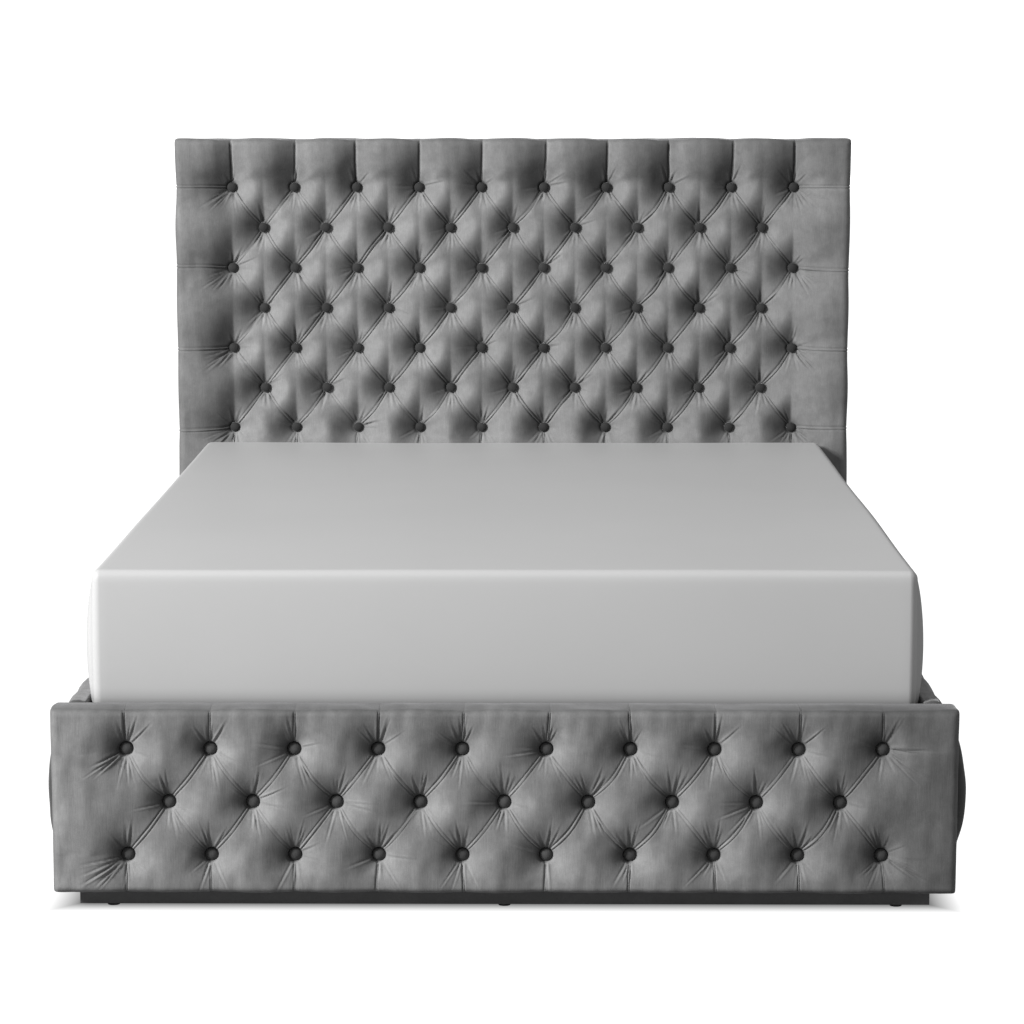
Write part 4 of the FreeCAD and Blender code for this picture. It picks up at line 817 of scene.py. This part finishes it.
def railPad(name, side, seed):
    quilt = Quilt(railRows, 13, 0.0085, dict(rail, seed=seed, rowDepths=railDepths[side]))
    n = 16
    arc = ends["radius"] * math.pi / 2
    low, high = ends["foot"] + ends["radius"], ends["head"] - ends["radius"]
    first, last = quilt.middle - quilt.half, quilt.middle + quilt.half
    stopsA = [
        (low - arc - ends["sunk"], 0), (low - arc, 3), (low, 5), (first, 22), (last, 24 * n),
        (high, 22), (high + arc, 5), (high + arc + ends["sunk"], 3),
    ]
    m, cuts = section["middle"], along
    stopsB = [
        (m - cuts[5], 0), (m - cuts[4], 3), (m - cuts[3], 3), (m - cuts[2], 5), (m - cuts[1], 5),
        (railRows[2], 13), (railRows[0], 2 * n), (m + cuts[1], 13),
        (m + cuts[2], 5), (m + cuts[3], 5), (m + cuts[4], 3), (m + cuts[5], 3),
    ]
    a1, b1 = axisSteps(stopsA), axisSteps(stopsB)
    a, b = np.meshgrid(a1, b1, indexing="ij")
    a, b, plain, folds = quilt.shape(a, b)
    movedA, movedB, movedH = settled(quilt, a, b, plain)
    a, b, h = a + movedA, b + movedB, plain + folds + movedH
    past = np.where(a < 0, low - a, a - high)
    theta = np.clip(past / arc, 0, 1) * math.pi / 2
    rounded = np.where(a < 0, low, high) + np.where(a < 0, -1, 1) * ends["radius"] * np.sin(theta)
    y = np.where(past > 0, rounded, a)
    inset = ends["radius"] * (1 - np.cos(theta)) + np.clip(past - arc, 0, 1)
    x, z, _, _ = railPoint(b, h * np.cos(theta), inset, railSlim[side])
    points = np.stack([side * x, y, z], -1).reshape(-1, 3)
    pad = meshObject(name, points, gridFaces(len(a1), len(b1), cellParity(quilt, a1, b1)), "velvet")
    # painted shade on the rounded ends, over a softened painted slope shade
    setPaintedShade(pad, paintedShade(a, b, plain, quilt) ** 0.5 * (1 - 0.6 * smooth(theta / 0.7)))
    if side < 0:
        inEditMode(pad, bpy.ops.mesh.flip_normals)
    return pad, quilt


railCloths, railQuilts = [], []
for side, word, seed in ((-1, "left", 41), (1, "right", 47)):
    cloth, quilt = railPad(f"side_rail_tufted_pad_{word}", side, seed)
    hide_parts(f"side_rail_cover_{word}", f"side_rail_foam_{word}")
    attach(cloth, "bed_frame")
    railCloths.append(cloth)
    railQuilts.append(quilt)
print("side rail pads made", len(railCloths[0].data.polygons))


button = {"radius": 0.0115, "rim": 0.0035, "dome": 0.0050, "segments": 20}


# a cloth-covered button, lying on its back at the origin
def oneButton():
    bpy.ops.object.select_all(action="DESELECT")
    bpy.ops.mesh.primitive_cylinder_add(
        vertices=button["segments"], radius=button["radius"], depth=button["rim"],
        end_fill_type="NGON", location=(0, 0, button["rim"] / 2),
    )
    made = bpy.context.object
    bpy.ops.object.mode_set(mode="EDIT")
    bpy.ops.mesh.select_all(action="DESELECT")
    bpy.ops.mesh.select_mode(type="FACE")
    bpy.ops.object.mode_set(mode="OBJECT")
    for face in made.data.polygons:
        face.select = face.normal.z > 0.9
    bpy.ops.object.mode_set(mode="EDIT")
    for inset, rise in ((0.0012, 0.0016), (0.0022, 0.0016), (0.0030, 0.0012), (0.0030, 0.0006)):
        bpy.ops.mesh.inset(thickness=inset, depth=rise * button["dome"] / 0.005)
    bpy.ops.object.mode_set(mode="OBJECT")
    bpy.ops.object.transform_apply(location=True)
    bpy.ops.object.shade_smooth_by_angle(angle=math.radians(50))
    return made


# copies of the button at (point, outward normal), each a little turned and tilted
def buttonSet(name, places, seed, nodeName, look="velvetButton"):
    draw = np.random.default_rng(seed)
    source = oneButton()
    co = np.array([v.co for v in source.data.vertices])
    polygons = [list(p.vertices) for p in source.data.polygons]
    bpy.data.objects.remove(source)
    points, faces = [], []
    for point, normal in places:
        normal = np.array(normal) + draw.normal(0, 0.05, 3)
        normal /= np.linalg.norm(normal)
        upright = np.cross(normal, [0.0, 1.0, 0.3] if abs(normal[1]) < 0.9 else [1.0, 0.0, 0.3])
        upright /= np.linalg.norm(upright)
        third = np.cross(normal, upright)
        spin = draw.uniform(0, 2 * math.pi)
        one = upright * math.cos(spin) + third * math.sin(spin)
        two = np.cross(normal, one)
        base = len(points) * len(co)
        points.append(co @ np.stack([one, two, normal]) + np.array(point))
        faces += [[base + v for v in polygon] for polygon in polygons]
    obj = meshObject(name, np.concatenate(points), faces, look)
    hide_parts(nodeName)
    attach(obj, "bed_frame")
    return obj


# the headboard buttons take a darker copy of the button velvet: painted shade, as they sit deep in their
# funnels
looks["shadedButton"] = velvet("velvet_button_painted_shade", 0.026, False)
looks["velvetButton"] = velvet("velvet_button", 0.062, False)
sunk = 0.0005  # how far a button sinks into its seat
for part, pad, seat, quilt, seed, look in (
    ("headboard", headPad, head["depth"], headQuilt, 5, "shadedButton"),
    ("footboard", footPad, foot["depth"], footQuilt, 6, "velvetButton"),
):
    places = [((a, pad["front"] + seat - sunk, b), (0, -1, 0)) for a, b, _ in quilt.buttons]
    buttonSet(f"{part}_covered_buttons", places, seed, f"{part}_buttons", look)
for side, word, quilt in ((-1, "left", railQuilts[0]), (1, "right", railQuilts[1])):
    places = []
    for a, b, k in quilt.buttons:
        deep = np.array([-railDepths[side][k] + sunk])
        x, z, nx, nz = railPoint(np.array([b]), deep, np.array([0.0]), railSlim[side])
        places.append(((side * x[0], a, z[0]), (side * nx[0], 0, nz[0])))
    buttonSet(f"side_rail_covered_buttons_{word}", places, 7 + side, f"side_rail_buttons_{word}")
print("buttons made")


# a closed block with rounded edges, as a mesh over its six sides; keep picks faces by their centre
def blockShell(low, high, radius, stops, keep=None):
    lines = []
    for axis in range(3):
        bend = [low[axis] + radius * t for t in (0, 0.18, 0.38, 0.6, 0.82)]
        other = [high[axis] - radius * t for t in (0.82, 0.6, 0.38, 0.18, 0)]
        straight = np.linspace(low[axis] + radius, high[axis] - radius, stops[axis] + 1)
        lines.append(np.array(bend + list(straight) + other))
    index, points, faces = {}, [], []

    def vertex(i, j, k):
        if (i, j, k) not in index:
            index[(i, j, k)] = len(points)
            points.append((lines[0][i], lines[1][j], lines[2][k]))
        return index[(i, j, k)]

    nx, ny, nz = (len(line) - 1 for line in lines)

    def quad(*corners):
        faces.append([vertex(*corner) for corner in corners])

    for i in range(nx):
        for j in range(ny):
            quad((i, j, nz), (i + 1, j, nz), (i + 1, j + 1, nz), (i, j + 1, nz))
            quad((i, j, 0), (i, j + 1, 0), (i + 1, j + 1, 0), (i + 1, j, 0))
    for i in range(nx):
        for k in range(nz):
            quad((i, 0, k), (i + 1, 0, k), (i + 1, 0, k + 1), (i, 0, k + 1))
            quad((i, ny, k), (i, ny, k + 1), (i + 1, ny, k + 1), (i + 1, ny, k))
    for j in range(ny):
        for k in range(nz):
            quad((0, j, k), (0, j, k + 1), (0, j + 1, k + 1), (0, j + 1, k))
            quad((nx, j, k), (nx, j + 1, k), (nx, j + 1, k + 1), (nx, j, k + 1))
    flat = np.array(points)
    quads = np.array(faces)
    if keep:
        quads = quads[keep(flat[quads].mean(1))]
    lowIn, highIn = np.array(low) + radius, np.array(high) - radius
    core = np.clip(flat, lowIn, highIn)
    off = flat - core
    # square offsets to round ones
    share = off / radius
    x, y, z = share.T
    round3 = np.stack([
        x * np.sqrt(1 - y * y / 2 - z * z / 2 + y * y * z * z / 3),
        y * np.sqrt(1 - x * x / 2 - z * z / 2 + x * x * z * z / 3),
        z * np.sqrt(1 - x * x / 2 - y * y / 2 + x * x * y * y / 3),
    ], 1)
    normals = np.where(np.linalg.norm(off, axis=1, keepdims=True) > 1e-9, round3, 0)
    normals /= np.linalg.norm(normals, axis=1, keepdims=True) + 1e-12
    return core + round3 * radius, normals, quads


# long sides that belly out above the rails, a groove behind each corner, a slightly crowned top,
# and slow unevenness
def bulged(points, normals, p):
    x, y, z = points.T
    level = np.clip((z - p["bellyLow"]) / (p["bellyHigh"] - p["bellyLow"]), 0, 1)
    fromEnd = np.minimum(y - p["footEnd"], p["headEnd"] - y)
    onSide = np.abs(normals[:, 0])
    share = onSide * smooth((fromEnd - 0.004) / 0.05) + np.abs(normals[:, 1]) * 0.25
    belly = p["belly"] * np.clip(np.sin(math.pi * level), 0, 1) ** 0.6 * share
    groove = -p["groove"] * np.exp(-((fromEnd - 0.017) / 0.006) ** 2) * onSide
    groove = groove * smooth((0.600 - z) / 0.02)
    arch = np.cos(x / 0.75 * math.pi / 2) * np.cos((y + 0.018) / 1.0 * math.pi / 2)
    crown = p["crown"] * np.clip(normals[:, 2], 0, 1) * arch
    slow = waves(x, y, z, 0.5, p["seed"]) * p["uneven"]
    return points + normals * (belly + groove + crown + slow)[:, None]


soft = {
    "footEnd": -1.0192, "headEnd": 0.9832, "groove": 0.003, "belly": 0.017, "bellyLow": 0.336,
    "bellyHigh": 0.600, "crown": 0.004, "uneven": 0.0012, "seed": 61,
}
body = {"low": (-0.7490, -1.0170, 0.3345), "high": (0.7490, 0.9810, 0.6080), "radius": 0.015}
points, normals, quads = blockShell(body["low"], body["high"], body["radius"], (60, 80, 12))
points = bulged(points, normals, soft)
mattress = meshObject("mattress_body", points, quads.tolist(), "ticking")
outward(mattress)
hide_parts("mattress_ticking", "mattress_comfort_layers", "mattress_edge_rails", "mattress_spring_unit")
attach(mattress, "mattress")

cover = {
    "low": (-0.7512, -1.0192, 0.3328), "high": (0.7512, 0.9832, 0.6145), "radius": 0.016,
    "hem": 0.110,
}


# everything but the middle of the underside, inside the hem
def sheetKeep(centres):
    across = np.abs(centres[:, 0]) < cover["high"][0] - cover["hem"]
    along = np.abs(centres[:, 1] + 0.018) < 1.0012 - cover["hem"]
    return ~(across & along & (centres[:, 2] < cover["low"][2] + 0.001))


cells = (120, 160, 40)
points, normals, quads = blockShell(cover["low"], cover["high"], cover["radius"], cells, sheetKeep)
points = bulged(points, normals, soft)
sheetCloth = meshObject("fitted_sheet_cloth", points, quads.tolist(), "satin_sheet")
upright = 1 - np.abs(normals[:, 2])
height = points[:, 2]
low = (0.30 * smooth((0.402 - height) / 0.036) + 0.15 * smooth((0.382 - height) / 0.012)) * upright
right = 0.34 * np.clip(normals[:, 0], 0, 1) ** 0.6
# painted shade: darker down the right side and along the foot of every side
setPaintedShade(sheetCloth, (1 - right) * (1 - low))
inEditMode(sheetCloth, bpy.ops.mesh.delete_loose)
outward(sheetCloth)
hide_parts("fitted_sheet")
width, length, tall = (cover["high"][i] - cover["low"][i] for i in range(3))
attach(sheetCloth, "mattress")
print("mattress and sheet made")


bpy.ops.object.select_all(action="DESELECT")
bpy.ops.mesh.primitive_plane_add(size=60, location=(0, 0, -0.0005))
floor = bpy.context.object
floor.name = "floor"
shadow = {"halfWidth": 0.785, "halfLength": 1.045, "inside": 0.02, "outside": 0.06, "glow": 1.15}
floorLook, floorShader = newMaterial("floor", 0.9)
floorShader.inputs["Specular IOR Level"].default_value = 0.0
floorShader.inputs["Emission Color"].default_value = (1, 1, 1, 1)
seenFloor = addNode(floorLook, "ShaderNodeLightPath").outputs["Is Camera Ray"]
# the light it gives back to the bed, and what the camera sees of it
shade = ramp(floorLook, seenFloor, 0.3, 0.06, 0.0, 1.0)
setColour(floorLook, floorShader, tinted(floorLook, shade, (1, 1, 1)))
apart = addNode(floorLook, "ShaderNodeSeparateXYZ", {0: stretched(floorLook, (1, 1, 1))})
beyond = []
for axis, half in (("X", shadow["halfWidth"]), ("Y", shadow["halfLength"])):
    away = addNode(floorLook, "ShaderNodeMath", {0: apart.outputs[axis]}, operation="ABSOLUTE")
    beyond.append(total(floorLook, away.outputs[0], -half))
outside = addNode(floorLook, "ShaderNodeMath", {0: beyond[0], 1: beyond[1]}, operation="MAXIMUM")
fromBed = outside.outputs[0]
# the glow the camera sees fades to none in a band round and under the bed: a painted contact shadow on
# the floor
bright = ramp(floorLook, fromBed, 0.0, shadow["glow"], -shadow["inside"], shadow["outside"])
glow = product(floorLook, seenFloor, bright)
floorLook.node_tree.links.new(glow, floorShader.inputs["Emission Strength"])
fromBelow = addNode(floorLook, "ShaderNodeNewGeometry").outputs["Backfacing"]
clear = addNode(floorLook, "ShaderNodeBsdfTransparent").outputs["BSDF"]
seenSides = {0: fromBelow, 1: floorShader.outputs["BSDF"], 2: clear}
oneSided = addNode(floorLook, "ShaderNodeMixShader", seenSides).outputs["Shader"]
surface = floorLook.node_tree.nodes["Material Output"].inputs["Surface"]
floorLook.node_tree.links.new(oneSided, surface)
floor.data.materials.append(floorLook)
floor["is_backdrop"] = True

sky = {"lights": 0.34, "seen": 1.6}
world = bpy.data.worlds.new("studio")
bpy.context.scene.world = world
world.use_nodes = True
tree = world.node_tree
background = tree.nodes["Background"]
seen = tree.nodes.new("ShaderNodeLightPath")
strength = tree.nodes.new("ShaderNodeMapRange")
tree.links.new(seen.outputs["Is Camera Ray"], strength.inputs["Value"])
strength.inputs["To Min"].default_value = sky["lights"]
strength.inputs["To Max"].default_value = sky["seen"]
tree.links.new(strength.outputs["Result"], background.inputs["Strength"])
background.inputs["Color"].default_value = (1, 1, 1, 1)


# a square soft light at that distance from aim; azimuth is to the right of the foot end
def areaLight(name, power, size, distance, azimuth, elevation, aim):
    light = bpy.data.lights.new(name, "AREA")
    light.energy, light.size = power, size
    obj = bpy.data.objects.new(name, light)
    bpy.context.scene.collection.objects.link(obj)
    turn, rise = math.radians(azimuth), math.radians(elevation)
    away = Vector((math.sin(turn) * math.cos(rise), -math.cos(turn) * math.cos(rise), math.sin(rise)))
    obj.location = Vector(aim) + away * distance
    obj.rotation_euler = away.to_track_quat("Z", "Y").to_euler()


key = {
    "power": 1450, "size": 2.2, "distance": 9.0, "azimuth": -58, "elevation": 27,
    "aim": (0, -0.3, 0.5),
}
fill = {"power": 90, "size": 3.0, "distance": 7.0, "azimuth": 75, "elevation": 20, "aim": (0, 0, 0.5)}
areaLight("key", **key)
areaLight("fill", **fill)

bpy.context.scene.view_settings.view_transform = "Standard"

view = {"lens": 109.1, "location": (0.0553, -6.5741, 1.5031), "down": 0.1396, "turn": 0.0075}
lens = bpy.data.cameras.new("camera")
lens.lens = view["lens"]
lens.sensor_width = 36
lens.clip_end = 100
camera = bpy.data.objects.new("camera", lens)
bpy.context.scene.collection.objects.link(camera)
camera.location = view["location"]
camera.rotation_euler = (math.pi / 2 - view["down"], 0, view["turn"])
bpy.context.scene.camera = camera
print("stage set")

low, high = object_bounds()
